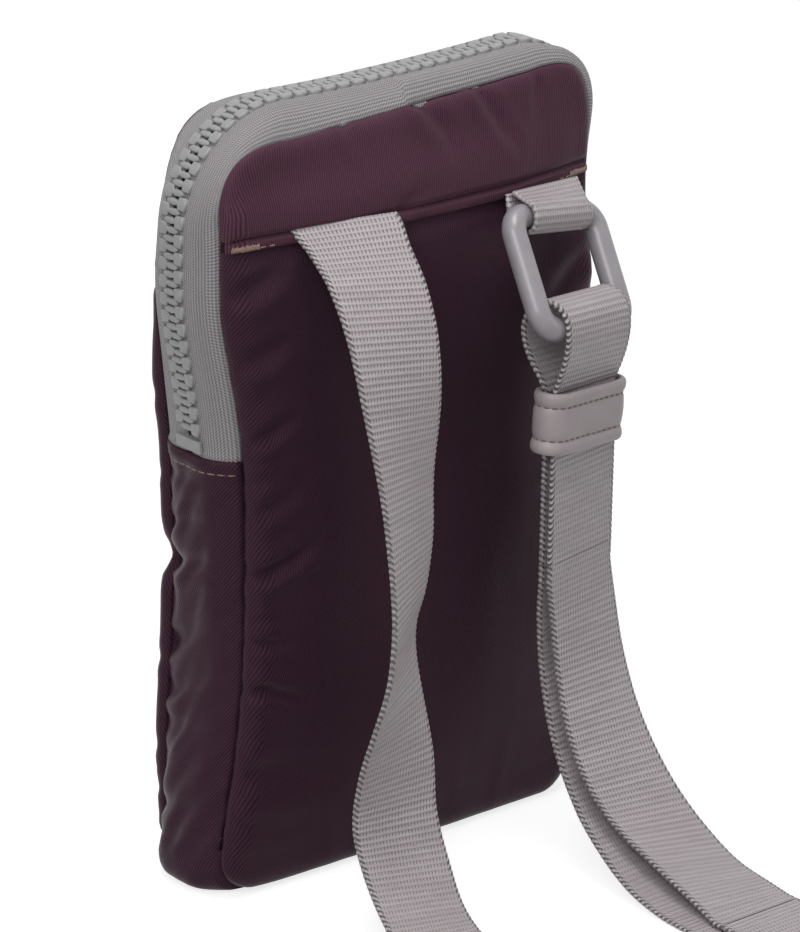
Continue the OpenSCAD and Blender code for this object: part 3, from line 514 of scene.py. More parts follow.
def seat(side, x, z):
    """Where a point of a side settles. The base's seams draw in and ride up on its rounded bottom, the
    front's left seam swells above its nick at the waist, and the back's top edge runs lower towards the
    left, between corners that stand squarer."""
    if side > 0:
        x -= 3.6 * eased((42 - z) / 38) * x / HALF_W
        if x < 0:
            x += 2.4 * hump((z - 78) / 6) - 0.7 * hump((z - 121) / 14) + 3.0 * hump((z - 171) / 13)
    elif x > 0:
        x -= 2.6 * eased((40 - z) / 36) * x / HALF_W
    z += (1.1 + 0.9 * hump((x + 54) / 10)) * max(0, 1 - z / 24)
    if z > 160 and side < 0:
        near_top = eased((z - 160) / 24)
        for way in (-1, 1):
            corner = hump((x - way * 49) / 9) * hump((z - 181) / 11)
            x, z = x + way * 1.9 * corner, z + 2.2 * corner
        slope, wrinkle = 0.064 * x - 2.1, 0.2 * noise.noise(Vector((x / 6.5, 2.2, 0)))
        z += near_top * slope
        z += near_top * wrinkle
    return x, z


def panel_point(side, x, z):
    """A side's outer face. It rolls out past its seam, back over it and up, and swells to its crown."""
    radius, start, depth = ROLL[side]
    # Towards the top the cloth no longer rolls out past its seam
    if side > 0:
        start += 105 * eased((z - 118) / 45)
    else:
        start += 80 * max(eased((z - 138) / 10) * eased((x - 20) / 20), 0.8 * eased((z - 164) / 14))
    start = math.radians(start)
    crown = depth - radius * (1 - math.sin(start))
    u = min(1, max(0.0, inside_by(side, x, z)) / EDGE)
    angle = start + (math.pi / 2 - start) * u
    inwards = (radius * (math.cos(start) - math.cos(angle)) + u ** 3 * (EDGE - radius * math.cos(start))
               - u * EDGE)
    rise = radius * (math.sin(angle) - math.sin(start))
    px, pz = x, z
    if u < 1:
        step = 0.05
        slope = Vector((inside_by(side, x + step, z) - inside_by(side, x - step, z),
                        inside_by(side, x, z + step) - inside_by(side, x, z - step)))
        if slope.length > 1e-6:
            slope.normalize()
            px, pz = x + slope.x * inwards, z + slope.y * inwards
    px, pz = seat(side, px, pz)
    return Vector((px, side * (SEAM_Y + rise + crown * crown_share(side, x, z)), pz))


def panel_grid(side):
    def flat(i, j):
        z = ROWS[j]
        return left_x(z, 0, side) + (right_x(z) - left_x(z, 0, side)) * SHARES[i], z
    return grid(COLUMNS, len(ROWS) - 1, lambda i, j: panel_point(side, *flat(i, j)), flat)


def seam_line(side):
    """A seam's points, the same as the edge of the panels' grids, from the middle of the base round
    by the left side."""
    last = len(ROWS) - 1

    def along(z):
        low, high = left_x(z, 0, side), right_x(z)
        return [Vector((low + (high - low) * s, z)) for s in SHARES]
    bottom, top = along(0), along(POUCH_H)
    return (bottom[COLUMNS // 2:0:-1] + [Vector((left_x(z, 0, side), z)) for z in ROWS[:last]]
            + top[:COLUMNS] + [Vector((right_x(z), z)) for z in ROWS[last:0:-1]]
            + bottom[COLUMNS:COLUMNS // 2 - 1:-1])


def on_ridge(p):
    """The point of the band's ridge, which carries the zip's chain, for a point of the middle line."""
    way = -1 if p.x < 0 else 1
    top, r = ZIP_TOP[way], ZIP_R[way]
    if p.y <= ZIP_Z:
        return Vector((p.x + way * 4.3 * max(0, p.y - BOTTOM_R) / (ZIP_Z - BOTTOM_R), p.y))
    if p.y <= SIDE_TOP:
        z = ZIP_Z + (top - r - ZIP_Z) * (p.y - ZIP_Z) / (SIDE_TOP - ZIP_Z)
        return Vector((ZIP_X if way > 0 else WAIST_SHARE[0] * waist(z) - ZIP_X, z))
    if abs(p.x) > HALF_W - TOP_R + 1e-6:
        a = math.asin(min(1, (p.y - SIDE_TOP) / TOP_R))
        return Vector((way * (ZIP_X - r + r * math.cos(a)), top - r + r * math.sin(a)))
    middle = (ZIP_TOP[-1] + ZIP_TOP[1]) / 2
    share = abs(p.x) / (HALF_W - TOP_R)
    return Vector((way * share * (ZIP_X - r), middle + (top - middle) * share - 0.9 * (1 - share * share)))


SEAMS = {side: [Vector(seat(side, *p)) for p in seam_line(side)] for side in (-1, 1)}
RIDGE = [on_ridge(p) for p in seam_line(0)]
RIDGE_RUN = run_along(RIDGE)


def outward(i):
    a, b = RIDGE[(i - 1) % (len(RIDGE) - 1)], RIDGE[(i + 1) % (len(RIDGE) - 1)]
    return Vector((-(b - a).y, (b - a).x)).normalized()


def squarer(p, share):
    """A point of the band's rounded left base corner, filled out towards a square one."""
    x, z = BOTTOM_R - HALF_W - p.x, BOTTOM_R - p.y
    if x < 0 or z < 0:
        return p
    out, down = (BOTTOM_R * (c / BOTTOM_R) ** 0.45 for c in (x, z))
    return p.lerp(Vector((BOTTOM_R - HALF_W - out, BOTTOM_R - down)), 1 - share ** 4)


def band_grid():
    """The band round the pouch, arched from its seams to its ridge, and full below the zip, above all
    at the base's left corner, which sags over the seam."""
    def across(j):
        return SEAM_Y * (2 * j / ACROSS - 1)

    def place(i, j):
        y = across(j)
        share, ridge = abs(y) / SEAM_Y, squarer(RIDGE[i], abs(y) / SEAM_Y)
        left, low = ridge.x < 0, eased((24 - ridge.y) / 18)
        seam = SEAMS[-1 if y < 0 else 1][i] if abs(y) > 0.01 else (SEAMS[-1][i] + SEAMS[1][i]) / 2
        flat = hump((ridge.y - 174) / 12) * left * (y > 0)
        arch = 1 - (max(0, share - 0.36) / 0.64) ** (2 - 0.9 * flat)
        arch += (1 - share ** 7 - arch) * low
        p = seam + (ridge - seam) * arch
        if ridge.y < ZIP_Z:
            swell = 2.2 * eased((58 - ridge.y) / 34) + 1.1 * eased((12 - ridge.y) / 8)
            full = 1.1 + swell * (1 if left else 0.3)
            out = Vector((-1 if left else 1, 0))
            if abs(ridge.x) < 40:
                out = outward(i) * min(1, ridge.y / BOTTOM_R)
            p = p + out * full * (1 - share ** 3) * eased((abs(ridge.x) - 30) / 16)
        elif not left and y < 0:
            p = p + outward(i) * 2.4 * hump((share - 0.72) / 0.22) * hump((ridge.y - 181) / 12)
        y -= 1.5 * hump((share - 0.88) / 0.12) * low * (y < 0) * (share < 1)
        return Vector((p.x, y, max(0, p.y)))
    return grid(len(RIDGE) - 1, ACROSS, place, lambda i, j: (RIDGE_RUN[i], across(j)))


def shell():
    """The whole skin of the pouch as one closed mesh."""
    bm = joined([panel_grid(-1), panel_grid(1), band_grid()])
    bmesh.ops.remove_doubles(bm, verts=bm.verts, dist=0.002)
    bmesh.ops.recalc_face_normals(bm, faces=bm.faces)
    return bm


# Folds and puckers in the cloth

# Folds of the back: the points that a valley follows, its half width and its depth. The cloth
# stands up again below it
BACK_FOLDS = [
    ([(-51, 82), (-44, 80.6), (-37, 83), (-29, 88)], 1.9, 1.7),
    ([(-51.5, 65), (-45, 63.8), (-37, 61.5)], 1.4, 1.3), ([(-53, 52.6), (-44, 51.6), (-33, 46.5)], 1.6, 1.7),
    ([(-55, 33), (-40, 30), (-22, 25)], 4.0, 0.8), ([(-50.5, 113.5), (-44, 114.6), (-36, 119)], 1.9, 1.3),
    ([(-55, 149), (-48, 151), (-38, 156)], 2.6, 1.3), ([(-54, 132), (-46, 134), (-37, 139)], 2.4, 0.9),
    ([(-52, 122), (-45, 123)], 1.5, 0.7), ([(-49.5, 104), (-44, 103)], 1.4, 0.6),
    ([(-49, 96), (-40, 98), (-33, 103)], 2.2, 0.8), ([(-50, 73), (-45, 72)], 1.2, 0.6),
    ([(-53, 42), (-47, 41)], 1.3, 0.5), ([(-54, 20), (-48, 19)], 1.4, 0.6),
    ([(53, 140), (46, 137), (38, 132)], 2.4, 0.9), ([(53, 112), (47, 110)], 1.6, 0.8),
    ([(53, 84), (45, 86), (36, 83)], 2.0, 1.0), ([(53, 61), (46, 59)], 1.5, 0.8),
    ([(53, 36), (44, 33)], 2.0, 0.9), ([(2, 185), (9, 177), (11, 168)], 2.0, 0.9),
    ([(20, 185), (25, 176), (31, 168)], 1.8, 1.0), ([(-20, 183), (-17, 176)], 1.6, 0.5),
    ([(38, 184), (36, 176)], 1.7, 0.6), ([(-8, 163), (2, 167)], 1.6, 0.5)]
FRONT_FOLDS = [
    ([(-52, 77.5), (-44, 76), (-34, 79)], 3.4, 1.2), ([(-52, 118), (-44, 120), (-35, 126)], 2.2, 1.2),
    ([(-53, 52), (-45, 50), (-34, 44)], 1.8, 1.3), ([(-54, 30), (-42, 28)], 2.2, 0.9),
    ([(-54, 146), (-44, 149)], 2.2, 1.0), ([(-51, 98), (-44, 97)], 1.6, 0.8),
    ([(53, 78), (45, 76), (34, 80)], 2.2, 1.6), ([(53, 122), (44, 125), (34, 131)], 2.4, 1.2),
    ([(53, 50), (44, 47)], 1.8, 1.0), ([(53, 98), (45, 99)], 1.6, 0.8),
    ([(-20, 185), (-15, 175), (-12, 162)], 2.6, 1.0), ([(15, 185), (18, 173), (17, 160)], 2.4, 0.9),
    ([(-12, 3), (-9, 14), (-4, 26)], 2.6, 1.0), ([(24, 3), (20, 13)], 2.2, 0.9)]
# Folds of the band on the left and right: heights at the back and front seams, half width and depth
BAND_FOLDS = [(94, 87, 1.8, 0.8), (84, 77, 2.2, 1.6), (72, 56, 2.4, 1.3), (58, 44, 2.0, 1.1),
              (40, 37, 2.4, 0.7), (22, 17, 2.2, 0.7), (103, 100, 1.6, 0.6)]


def crease(x, z, points, half, depth):
    """How deep a fold is at x, z: a valley with a low bank above it and a higher one below, which
    fades towards its last point."""
    best, best_t, total = None, 0.0, 0.0
    lengths = [math.dist(a, b) for a, b in zip(points, points[1:])]
    whole = sum(lengths)
    for (ax, az), (bx, bz), length in zip(points, points[1:], lengths):
        ux, uz = (bx - ax) / length, (bz - az) / length
        t = min(length, max(0, (x - ax) * ux + (z - az) * uz))
        away = math.hypot(x - ax - ux * t, z - az - uz * t)
        if best is None or away < best[0]:
            way = 1 if ux > 0 else -1
            best = (away, ((x - ax) * uz - (z - az) * ux) * way)
            best_t = (total + t) / whole
        total += length
    away, below = best
    if away > half * 5:
        return 0.0
    off = (away if below > 0 else -away) / half
    banks = 0.62 * hump((off - 1.9) / 1.15) + 0.3 * hump((off + 1.7) / 1.2)
    return depth * (1 - best_t ** 2.2) * (hump(off) - banks)


def cloth_folds(side, x, z):
    """How far the cloth of a side stands in from its smooth form at x, z."""
    d = max(0.0, inside_by(side, x, z))
    near_seam = math.exp(-d / 7) * min(1, d / 0.8)
    s = z if abs(x) > 34 else x
    ripple = noise.noise(Vector((s / 5.4, side * 3.1 + (x > 0) * 7.7, d / 26)))
    fine = noise.noise(Vector((s / 2.3, side * 1.7 + (x > 0) * 3.3, d / 14)))
    soft = noise.noise(Vector((x / 24, side * 5.0, z / 30)))
    calm = 1 - 0.9 * eased((z - 166) / 10) * (side < 0)
    depth = (1.0 * ripple + 0.25 * fine) * near_seam * min(1, z / 12) * calm + 0.9 * soft * min(1, d / 10)
    for points, half, deep in BACK_FOLDS if side < 0 else FRONT_FOLDS:
        depth += crease(x, z, points, half, deep)
    return depth * min(1, 0.25 * calm + d / 2)


def band_folds(x, y, z):
    """The same for the band below the zip."""
    share = y / SEAM_Y
    along = z if abs(x) > 40 else x
    ripple = noise.noise(Vector((along / 6.5 + 0.25 * y * (x < 0), y / 10, x / 60)))
    fine = noise.noise(Vector((along / 2.6, abs(share) * 2, x / 50))) * max(0, abs(share) - 0.5)
    depth = (0.8 * ripple + 1.1 * fine) * min(1, z / 8)
    if abs(x) > 40:
        for back, front, half, deep in BAND_FOLDS:
            middle = back + (front - back) * (1 + share) / 2
            off = (middle - z) / half
            if abs(off) < 5:
                banks = 0.6 * hump((off - 1.9) / 1.2) + 0.3 * hump((off + 1.7) / 1.2)
                depth += deep * (0.55 + 0.45 * share) * (hump(off) - banks)
    return depth * eased((ZIP_Z - z) / 5) - 0.55 * eased((z - ZIP_Z + 3.6) / 0.8)


# The cloth pieces of the pouch

def folded_shell():
    """The skin with its puckers and folds, still in one piece."""
    bm = shell()
    bm.normal_update()
    steps = {}
    for v in bm.verts:
        x, y, z = v.co
        if abs(abs(y) - SEAM_Y) < 0.05:
            if z < ZIP_Z or y > 0 or z < SIDE_TOP:
                along = z if abs(x) > 36 else x
                pucker = 0.5 * noise.noise(Vector((along / 4.2, y, x / 70))) * (10 < z < ZIP_Z)
                steps[v] = v.normal * (-0.2 - pucker)
        elif abs(y) < SEAM_Y:
            if z < ZIP_Z + 0.05:
                steps[v] = v.normal * -band_folds(x, y, z)
        else:
            steps[v] = v.normal * -cloth_folds(1 if y > 0 else -1, x, z)
    for v, step in steps.items():
        v.co += step
        v.co.z = max(v.co.z, 0.0)
    return bm


def cut_out(whole, keep, uv_turn=0.0):
    """The faces of the skin whose middle keep() accepts, with their pattern turned."""
    bm = whole.copy()
    bmesh.ops.delete(bm, geom=[f for f in bm.faces if not keep(f.calc_center_median())], context="FACES")
    layer = bm.loops.layers.uv.active
    turn = Matrix.Rotation(math.radians(uv_turn), 2)
    for face in bm.faces:
        for loop in face.loops:
            loop[layer].uv = turn @ loop[layer].uv
    return bm


def cloth_piece(name, bm, *nodes, material=CLOTH):
    made = piece(name, bm, material, "pouch", "cloth", *nodes)
    walled(made, CLOTH_T)


def pouch_cloth():
    skin = folded_shell()
    low, high = YOKE_Z - HEM_DROP, YOKE_Z

    # The pocket's hem stands off the yoke, whose lower edge is tucked in behind it
    pocket = cut_out(skin, lambda c: c.y < -SEAM_Y + 0.01 and c.z < high, 22)
    for v in pocket.verts:
        if v.co.z > low - 5:
            from_edge = max(0, inside_by(-1, v.co.x, v.co.z))
            v.co.y += 1.1 * min(1, (v.co.z - low + 5) / 4) * min(1, from_edge / 3)
    cloth_piece("slip_pocket", pocket, "pocket_panel")

    yoke = cut_out(skin, lambda c: c.y < -SEAM_Y + 0.01 and c.z > low, 3)
    for v in yoke.verts:
        if abs(v.co.z - high) < 0.3:
            v.co.y += 1.3 * min(1, max(0, inside_by(-1, v.co.x, v.co.z)) / 1.5)
    # The yoke wears the copy of the cloth painted lighter, as painted light
    cloth_piece("yoke", yoke, "back_yoke", material=YOKE_CLOTH_PAINTED_LIT)

    cloth_piece("front", cut_out(skin, lambda c: c.y > SEAM_Y - 0.01, 22), "front_panel")
    band = cut_out(skin, lambda c: abs(c.y) < SEAM_Y - 0.01 and c.z < ZIP_Z, -60)
    cloth_piece("gusset", band, "side_gusset")

    for side, word in ((-1, "back"), (1, "front")):
        tape = cut_out(skin, lambda c: 0.9 < side * c.y < SEAM_Y - 0.01 and c.z > ZIP_Z)
        made = piece("tape_" + word, tape, TAPE, "pouch", "zip_tape", "zip_tape_" + word)
        walled(made, TAPE_T)
    stitching(BVHTree.FromBMesh(skin))
    skin.free()


def sewn(tree, starts, way, sink=0.05):
    """Points on the cloth, found from outside along a direction."""
    line = []
    for start in starts:
        spot = tree.ray_cast(Vector(start), Vector(way))[0]
        if spot:
            line.append(spot - Vector(way) * sink)
    return line


def stitching(tree):
    """The topstitches below the zip's ends and the tacks that hold the yoke's strip down at each side."""
    rows = []
    for way in (-1, 1):
        starts = [(way * 90, y, ZIP_Z - 3.4 + 0.25 * noise.noise(Vector((y / 3, way, 0))))
                  for y in spread(-11.3, 11.3, 46)]
        rows.append(stitched(sewn(tree, starts, (-way, 0, 0)), 2.5, 1.9, 0.21))
        zigzag = [(way * (54.2 - 7.0 * i / 34), -60, 160.2 + (0.72 if i % 2 else -0.72)
                   + 0.3 * noise.noise(Vector((i / 2, way, 0)))) for i in range(35)]
        rows.append(stitched(sewn(tree, zigzag, (0, 1, 0), 0.15), 1.45, 1.5, 0.2))
        dashes = [(way * (46.9 - 4.8 * i / 8), -60, 159.9) for i in range(9)]
        rows.append(stitched(sewn(tree, dashes, (0, 1, 0), 0.1), 2.4, 1.4, 0.17))
    piece("stitches", joined(rows), BROWN_THREAD, "pouch", "cloth")


def inner_layer(name, side, base, thick, e, material, slot, *nodes):
    """A crowned layer inside the cloth, of foam, lining or the pocket's back."""
    curve = [math.pi / 2 * i / 6 for i in range(7)]
    rows = ([e + (BOTTOM_R - e) * (1 - math.cos(a)) for a in curve[:6]] + spread(BOTTOM_R, SIDE_TOP, 24)
            + [SIDE_TOP + (TOP_R - e) * math.sin(a) for a in curve])
    crown = BACK_CROWN if side < 0 else FRONT_CROWN

    def place(i, j):
        z, share = rows[j], (1 - math.cos(math.pi * i / 20)) / 2
        x = left_x(z, e, side) + (right_x(z, e) - left_x(z, e, side)) * share
        # The layers lie deeper towards the top, where the cloth over them is flatter
        near_top = eased((z - 138) / 26)
        low = base + thick + crown * crown_share(side, x, z) * (1 - 0.35 * near_top)
        x, high = seat(side, x, z)
        return Vector((x * 0.985, side * (SEAM_Y + low), max(min(z, 20), high - 1.2 * near_top)))
    bm = grid(20, len(rows) - 1, place)
    bmesh.ops.recalc_face_normals(bm, faces=bm.faces)
    if sum(f.normal.y for f in bm.faces) * side < 0:
        bmesh.ops.reverse_faces(bm, faces=bm.faces)
    made = piece(name, bm, material, "pouch", slot, *nodes)
    walled(made, thick)


def pouch_inside():
    inner, foam = GUSSET_T + GAP, -GAP - PAD_T
    inner_layer("pocket_back", -1, 0, CLOTH_T - 0.05, 0, CLOTH, "cloth", "back_panel")
    inner_layer("foam_back", -1, foam, PAD_T, inner, FOAM, "foam", "back_padding")
    inner_layer("foam_front", 1, foam, PAD_T, inner, FOAM, "foam", "front_padding")
    base = -2 * GAP - PAD_T - LINING_T
    inner_layer("lining_back", -1, base, LINING_T, inner, LINING, "lining", "lining")
    inner_layer("lining_front", 1, base, LINING_T, inner, LINING, "lining")


pouch_cloth()
pouch_inside()


# The zip's teeth

def zip_line():
    """The ridge above the zip's ends as points with the distance along it, from the left end."""
    keep = [p for p in RIDGE if p.y > ZIP_Z + 0.31]
    first = Vector((WAIST_SHARE[0] * waist(ZIP_Z + GAP) - ZIP_X, ZIP_Z + GAP))
    points = [first, *keep, Vector((ZIP_X, ZIP_Z + GAP))]
    return points, run_along(points)


ZIP_POINTS, ZIP_RUN = zip_line()


def on_zip(s):
    """A place on the zip: X along it, Y across and Z outwards, its middle half a tape deep."""
    a, p, b = (point_at(ZIP_POINTS, ZIP_RUN, s + step) for step in (-TOOTH_PITCH / 2, 0, TOOTH_PITCH / 2))
    along = Vector((b.x - a.x, 0, b.y - a.y)).normalized()
    across = Vector((0, 1, 0))
    out = along.cross(across)
    if out.z < 0 and abs(out.z) > 0.5 or out.x * p.x < 0 and abs(out.x) > 0.5:
        out, across = -out, -across
    place = Matrix((along, across, out)).transposed().to_4x4()
    place.translation = Vector((p.x, 0, p.y)) - out * (TAPE_T / 2)
    return place


def tooth():
    """One tooth: an outer block that grips the tape, a neck and a rounded head, with eased edges."""
    half = CHAIN_W / 2 - 0.5
    block_y, tip_y = 0.4 * half, -0.27 * CHAIN_W
    block, neck, head = 0.36 * TOOTH_PITCH, 0.13 * TOOTH_PITCH, 0.18 * TOOTH_PITCH
    profile = [(block, half), (block, block_y), (neck, 0.8 * block_y), (neck, 0.5 * block_y),
               (head, 0.3 * block_y), (head, 0.6 * tip_y), (head / 2, tip_y)]
    profile += [(-x, y) for x, y in reversed(profile)]
    bm = bmesh.new()
    base = bm.faces.new([bm.verts.new((x, y, -TOOTH_T / 2)) for x, y in profile])
    raised = bmesh.ops.extrude_face_region(bm, geom=[base])["geom"]
    upper = [g for g in raised if isinstance(g, bmesh.types.BMVert)]
    bmesh.ops.translate(bm, vec=(0, 0, TOOTH_T), verts=upper)
    bmesh.ops.recalc_face_normals(bm, faces=bm.faces)
    rim = [e for e in bm.edges if all(v.co.z > 0 for v in e.verts)]
    bmesh.ops.bevel(bm, geom=rim, offset=0.3, segments=2, profile=0.5, affect="EDGES", material=-1)
    return bm


def zip_chain():
    start = STOP_LEN + TOOTH_PITCH / 2
    count = math.floor((ZIP_RUN[-1] - 2 * start - TOOTH_PITCH / 2) / TOOTH_PITCH)
    for word, phase, flip in (("back", 0.0, -1), ("front", 0.5, 1)):
        places = [on_zip(start + (i + phase) * TOOTH_PITCH) for i in range(count + 1)]
        bm = repeated(tooth(), [p @ Matrix.Scale(flip * (1 if p[1][1] > 0 else -1), 4, Vector((0, 1, 0)))
                                for p in places])
        piece("teeth_" + word, bm, ACETAL, "pouch", "zip_teeth", "zip_teeth_" + word)


zip_chain()


# Webbing

def smoothed(route, steps):
    """Places along a smooth curve through a route's places, as in the part's source."""
    last, made = len(route) - 1, []
    for i in range(last):
        a, b, c, d = (Vector(route[k]) for k in (max(i - 1, 0), i, i + 1, min(i + 2, last)))
        for k in range(steps):
            t = k / steps
            made.append(0.5 * (2 * b + (c - a) * t + (2 * a - 5 * b + 4 * c - d) * t * t
                               + (3 * b - a - 3 * c + d) * t ** 3))
    return made + [Vector(route[last])]


def aslant(turn, tilt):
    """A direction from X, turned about Z and then tilted up, by angles in radians."""
    return Vector((math.cos(turn) * math.cos(tilt), math.sin(turn) * math.cos(tilt), math.sin(tilt)))


def turned(place):
    """A route's place as its point and the direction of the strap's width."""
    return Vector(place[:3]), aslant(math.radians(place[3]), math.radians(place[4]))


def evenly(places, step):
    """The places resampled at even steps along the strap."""
    run = run_along([p for p, _ in places])
    count = max(2, round(run[-1] / step))
    made, k = [], 0
    for i in range(count + 1):
        s = run[-1] * i / count
        while k < len(run) - 2 and run[k + 1] < s:
            k += 1
        t = (s - run[k]) / max(run[k + 1] - run[k], 1e-9)
        made.append(tuple(a.lerp(b, t) for a, b in zip(places[k], places[k + 1])))
    return made, run[-1] / count


def webbing(places, width, step, flare):
    """Webbing along places: a flat body and a rounded selvage whose knots stand out along each edge. It
    may spread, by a share of its width, where it is sewn in at its start."""
    places, step = evenly(places, step)
    roll, flats, rounds = 0.6, 6, 5
    inner = width / 2 - 1.45
    around = 2 * (flats + rounds)

    def section(s):
        wave = math.sin(2 * math.pi * s / EDGE_KNOT)
        points = []
        for side in (1, -1):
            for k in range(flats):
                points.append((-side * inner * (1 - 2 * k / (flats - 1)), side * STRAP_T * 0.42))
            swell = roll * (1 + 0.11 * wave * side)
            for k in range(rounds):
                a = math.pi / 2 - math.pi * k / (rounds - 1)
                points.append((side * (width / 2 - roll + swell * math.cos(a)), side * swell * math.sin(a)))
        return points
    rings = []
    for i, (p, w) in enumerate(places):
        a, b = places[max(i - 1, 0)][0], places[min(i + 1, len(places) - 1)][0]
        along = (b - a).normalized()
        wide = w.normalized()
        up = along.cross(wide).normalized()
        spread_by = 1 + flare * math.exp(-(i * step / 6) ** 2)
        rings.append([(p + wide * x * spread_by + up * n, x) for x, n in section(i * step)])
    return close_up(grid(around, len(places) - 1, lambda i, j: rings[j][i % around][0],
                         lambda i, j: (rings[j][i % around][1], j * step)))


def strap(name, places, body, held, rests_on, *nodes, width=STRAP_W, step=0.31, ends=None, with_pieces=(),
          flare=0.0):
    places = [(Vector(p), Vector(w)) for p, w in places]
    length = run_along([p for p, _ in places])[-1]
    made = piece(name, webbing(places, width, step, flare), WEBBING, body, "webbing", *nodes)
    if ends:
        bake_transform(made)
    return made


# The ring's place under the yoke, and the directions out from it and along it
TAB_DROP, TAB_OUT, TAB_SEAT = 7.2, 6.5, 2.25
RING_AT = Vector((34.0, -23.135, 154.8))
OUT = Vector((math.sin(RING_TURN), -math.cos(RING_TURN), 0))
WIDE = Vector((math.cos(RING_TURN), math.sin(RING_TURN), 0))
UP = Vector((0, 0, 1))
# The middle of the ring's lower bar, and the loop's path out from it and up, with the heights and
# distances of its two layers
BAR_AT = (RING_AT + OUT * RING_H * math.sin(RING_LEAN)
          - (WIDE * math.sin(RING_TILT) + UP * math.cos(RING_TILT)) * RING_H * math.cos(RING_LEAN)
          + WIDE * 0.6)
FRONT_LAYER, BACK_LAYER, FOLD_END = 0.2, -2.2, -56.9
FOLD_PATH = [
    (FRONT_LAYER, FOLD_END), (0.2, -36), (0.2, -16.5), (0.5, -14), (1.6, -11), (2.9, -7), (3.7, -3), (3.8, 0),
    (3.3, 3.4), (1.2, 6), (-2, 6.9), (-5.2, 6.1), (-7.8, 3.8), (-9.1, 0.6), (-9.1, -2.4), (-8.1, -5.6),
    (-6.3, -8.8), (-4.3, -11.4), (-2.8, -13.8), (-2.2, -16.5), (-2.2, -36), (BACK_LAYER, FOLD_END)]


def in_fold_plane(path):
    """The loop over the ring's lower bar. Its width leans over with the bar towards the top."""
    places = []
    for out, high, _ in smoothed([(*p, 0) for p in path], 10):
        lean = math.radians(4.5) * min(1, max(0, (high + 30) / 20))
        places.append((BAR_AT + OUT * out + UP * high, WIDE * math.cos(lean) - UP * math.sin(lean)))
    return places


# Routes: each place has x, y and z, and in degrees how the strap's width is turned and tilted
LEFT_ROUTE = [
    (-24.2, -18.0, 162.4, -10, 0), (-24.2, -20.6, 160.2, -12, 0), (-24.2, -25.3, 155.6, -13, -2),
    (-24.6, -31.3, 149.6, -11.1, -5.1), (-24.7, -36.8, 139, -4.6, -6.6), (-24.3, -39.7, 125, 4.9, -6.7),
    (-23.2, -40.6, 106, 21.3, -5.7), (-22.5, -41.6, 90, 27.3, -3.7), (-23.1, -42.2, 77, 33.6, -1.3),
    (-24.6, -42.2, 68, 38.2, 0.8), (-25.3, -42.2, 60, 35.6, 2.3), (-25.7, -42, 50, 24.5, 1.1),
    (-25.8, -41.6, 36, 6.8, -1.2), (-26.9, -42.8, 24, -0.6, -4.2), (-28, -48.4, 14, -3.6, -7.4),
    (-31.1, -59, 6.2, -1.4, -9), (-35, -74, 2.2, -1.2, -3), (-36, -90, 0.8, 0, 0),
    (-36, -108, 0.8, 0, 0), (-36, -122, 3.6, 0, 0), (-36, -136, 11, 0, 0), (-36, -144, 14.4, 0, 0),
    (-36, -150, 15.05, 0, 0)]
OUTER_ROUTE = [
    (35, -37.4, 60.5, 11.1, -0.8), (35.6, -39.8, 47.2, 8.6, -2.1), (34.6, -46.1, 34.5, 4, -2.2),
    (34.8, -54, 23.2, -0.3, -2.6), (36.5, -63.1, 13.7, -2.9, -5.3), (38.6, -76, 6, -3, -9),
    (38.2, -90, 3, -2, -4)]
INNER_ROUTE = [
    (33.5, -34.3, 60, 11.6, -0.3), (33.6, -36, 47, 10, -1), (33, -41.3, 33.5, 7, -1),
    (32.7, -48.5, 22, 4, -1), (32.4, -57.3, 12.6, 2, -1), (31.9, -70.8, 4.4, 1, 0), (31.5, -84, 1.1, 0.5, 0)]
# Where the two layers cross from the routes to the floor runs, along x
OUTER_X, INNER_X = 37, 31.4
SIDEWAYS = Vector((1, 0, 0))


def foot(layer, drop):
    return (*(BAR_AT + OUT * layer + UP * (FOLD_END - drop)), 12, 0)


def hanging(layer, route, x, z):
    inner = [foot(layer, 3), foot(layer, 5), *route, (x, -RUN_Y + 3, z, 0, 0)]
    return [turned(p) for p in [foot(layer, -0.3), *smoothed(inner, 10), (x, -RUN_Y, z, 0, 0)]]


def floor_run(x0, z):
    start, end = -RUN_Y + GAP, -(ADJUSTER_Y - 9) + GAP + STRAP_T
    points = [(x0, start)]
    for i in range(13):
        t = i / 12
        x = x0 + (RUN_X - x0) * (1 - math.cos(math.pi * t)) / 2
        points.append((x, start - 3 + (end - start + 6) * t))
    return [(Vector((x, y, z)), SIDEWAYS) for x, y in [*points, (RUN_X, end)]]


def tab_places():
    """The ring's tab: out of the yoke seam, round the ring's upper bar and back into the seam."""
    run, loop = TAB_OUT - TAB_SEAT, RING_WIRE / 2 + 0.6 + STRAP_T / 2
    reach, start = math.hypot(run, TAB_DROP), math.atan2(TAB_DROP, -run)
    wrap = math.acos(loop / reach)
    seam = Vector((-run, TAB_DROP - 2 * GAP - STRAP_T))
    aside = Vector((TAB_DROP, run)) / reach * (STRAP_T + GAP) / 2
    path = [seam + aside]
    for i in range(19):
        a = start - wrap - i * (2 * math.pi - 2 * wrap) / 18
        path.append(Vector((math.cos(a), math.sin(a))) * loop)
    path.append(seam - aside)
    places = []
    for p in path:
        t = min(1, max(0, (seam.y - p.y) / (seam.y - loop)))
        wide = aslant(math.radians(6.5 + 5.5 * t), -math.radians(2 + 7.5 * t))
        places.append((RING_AT + OUT * p.x + UP * p.y + WIDE * 2.2 * (1 - t), wide))
    return places


def in_strap_plane(path):
    return [(Vector((RUN_X, y - ADJUSTER_Y, z)), SIDEWAYS)
            for y, z, _ in smoothed([(*p, 0) for p in path], 4)]


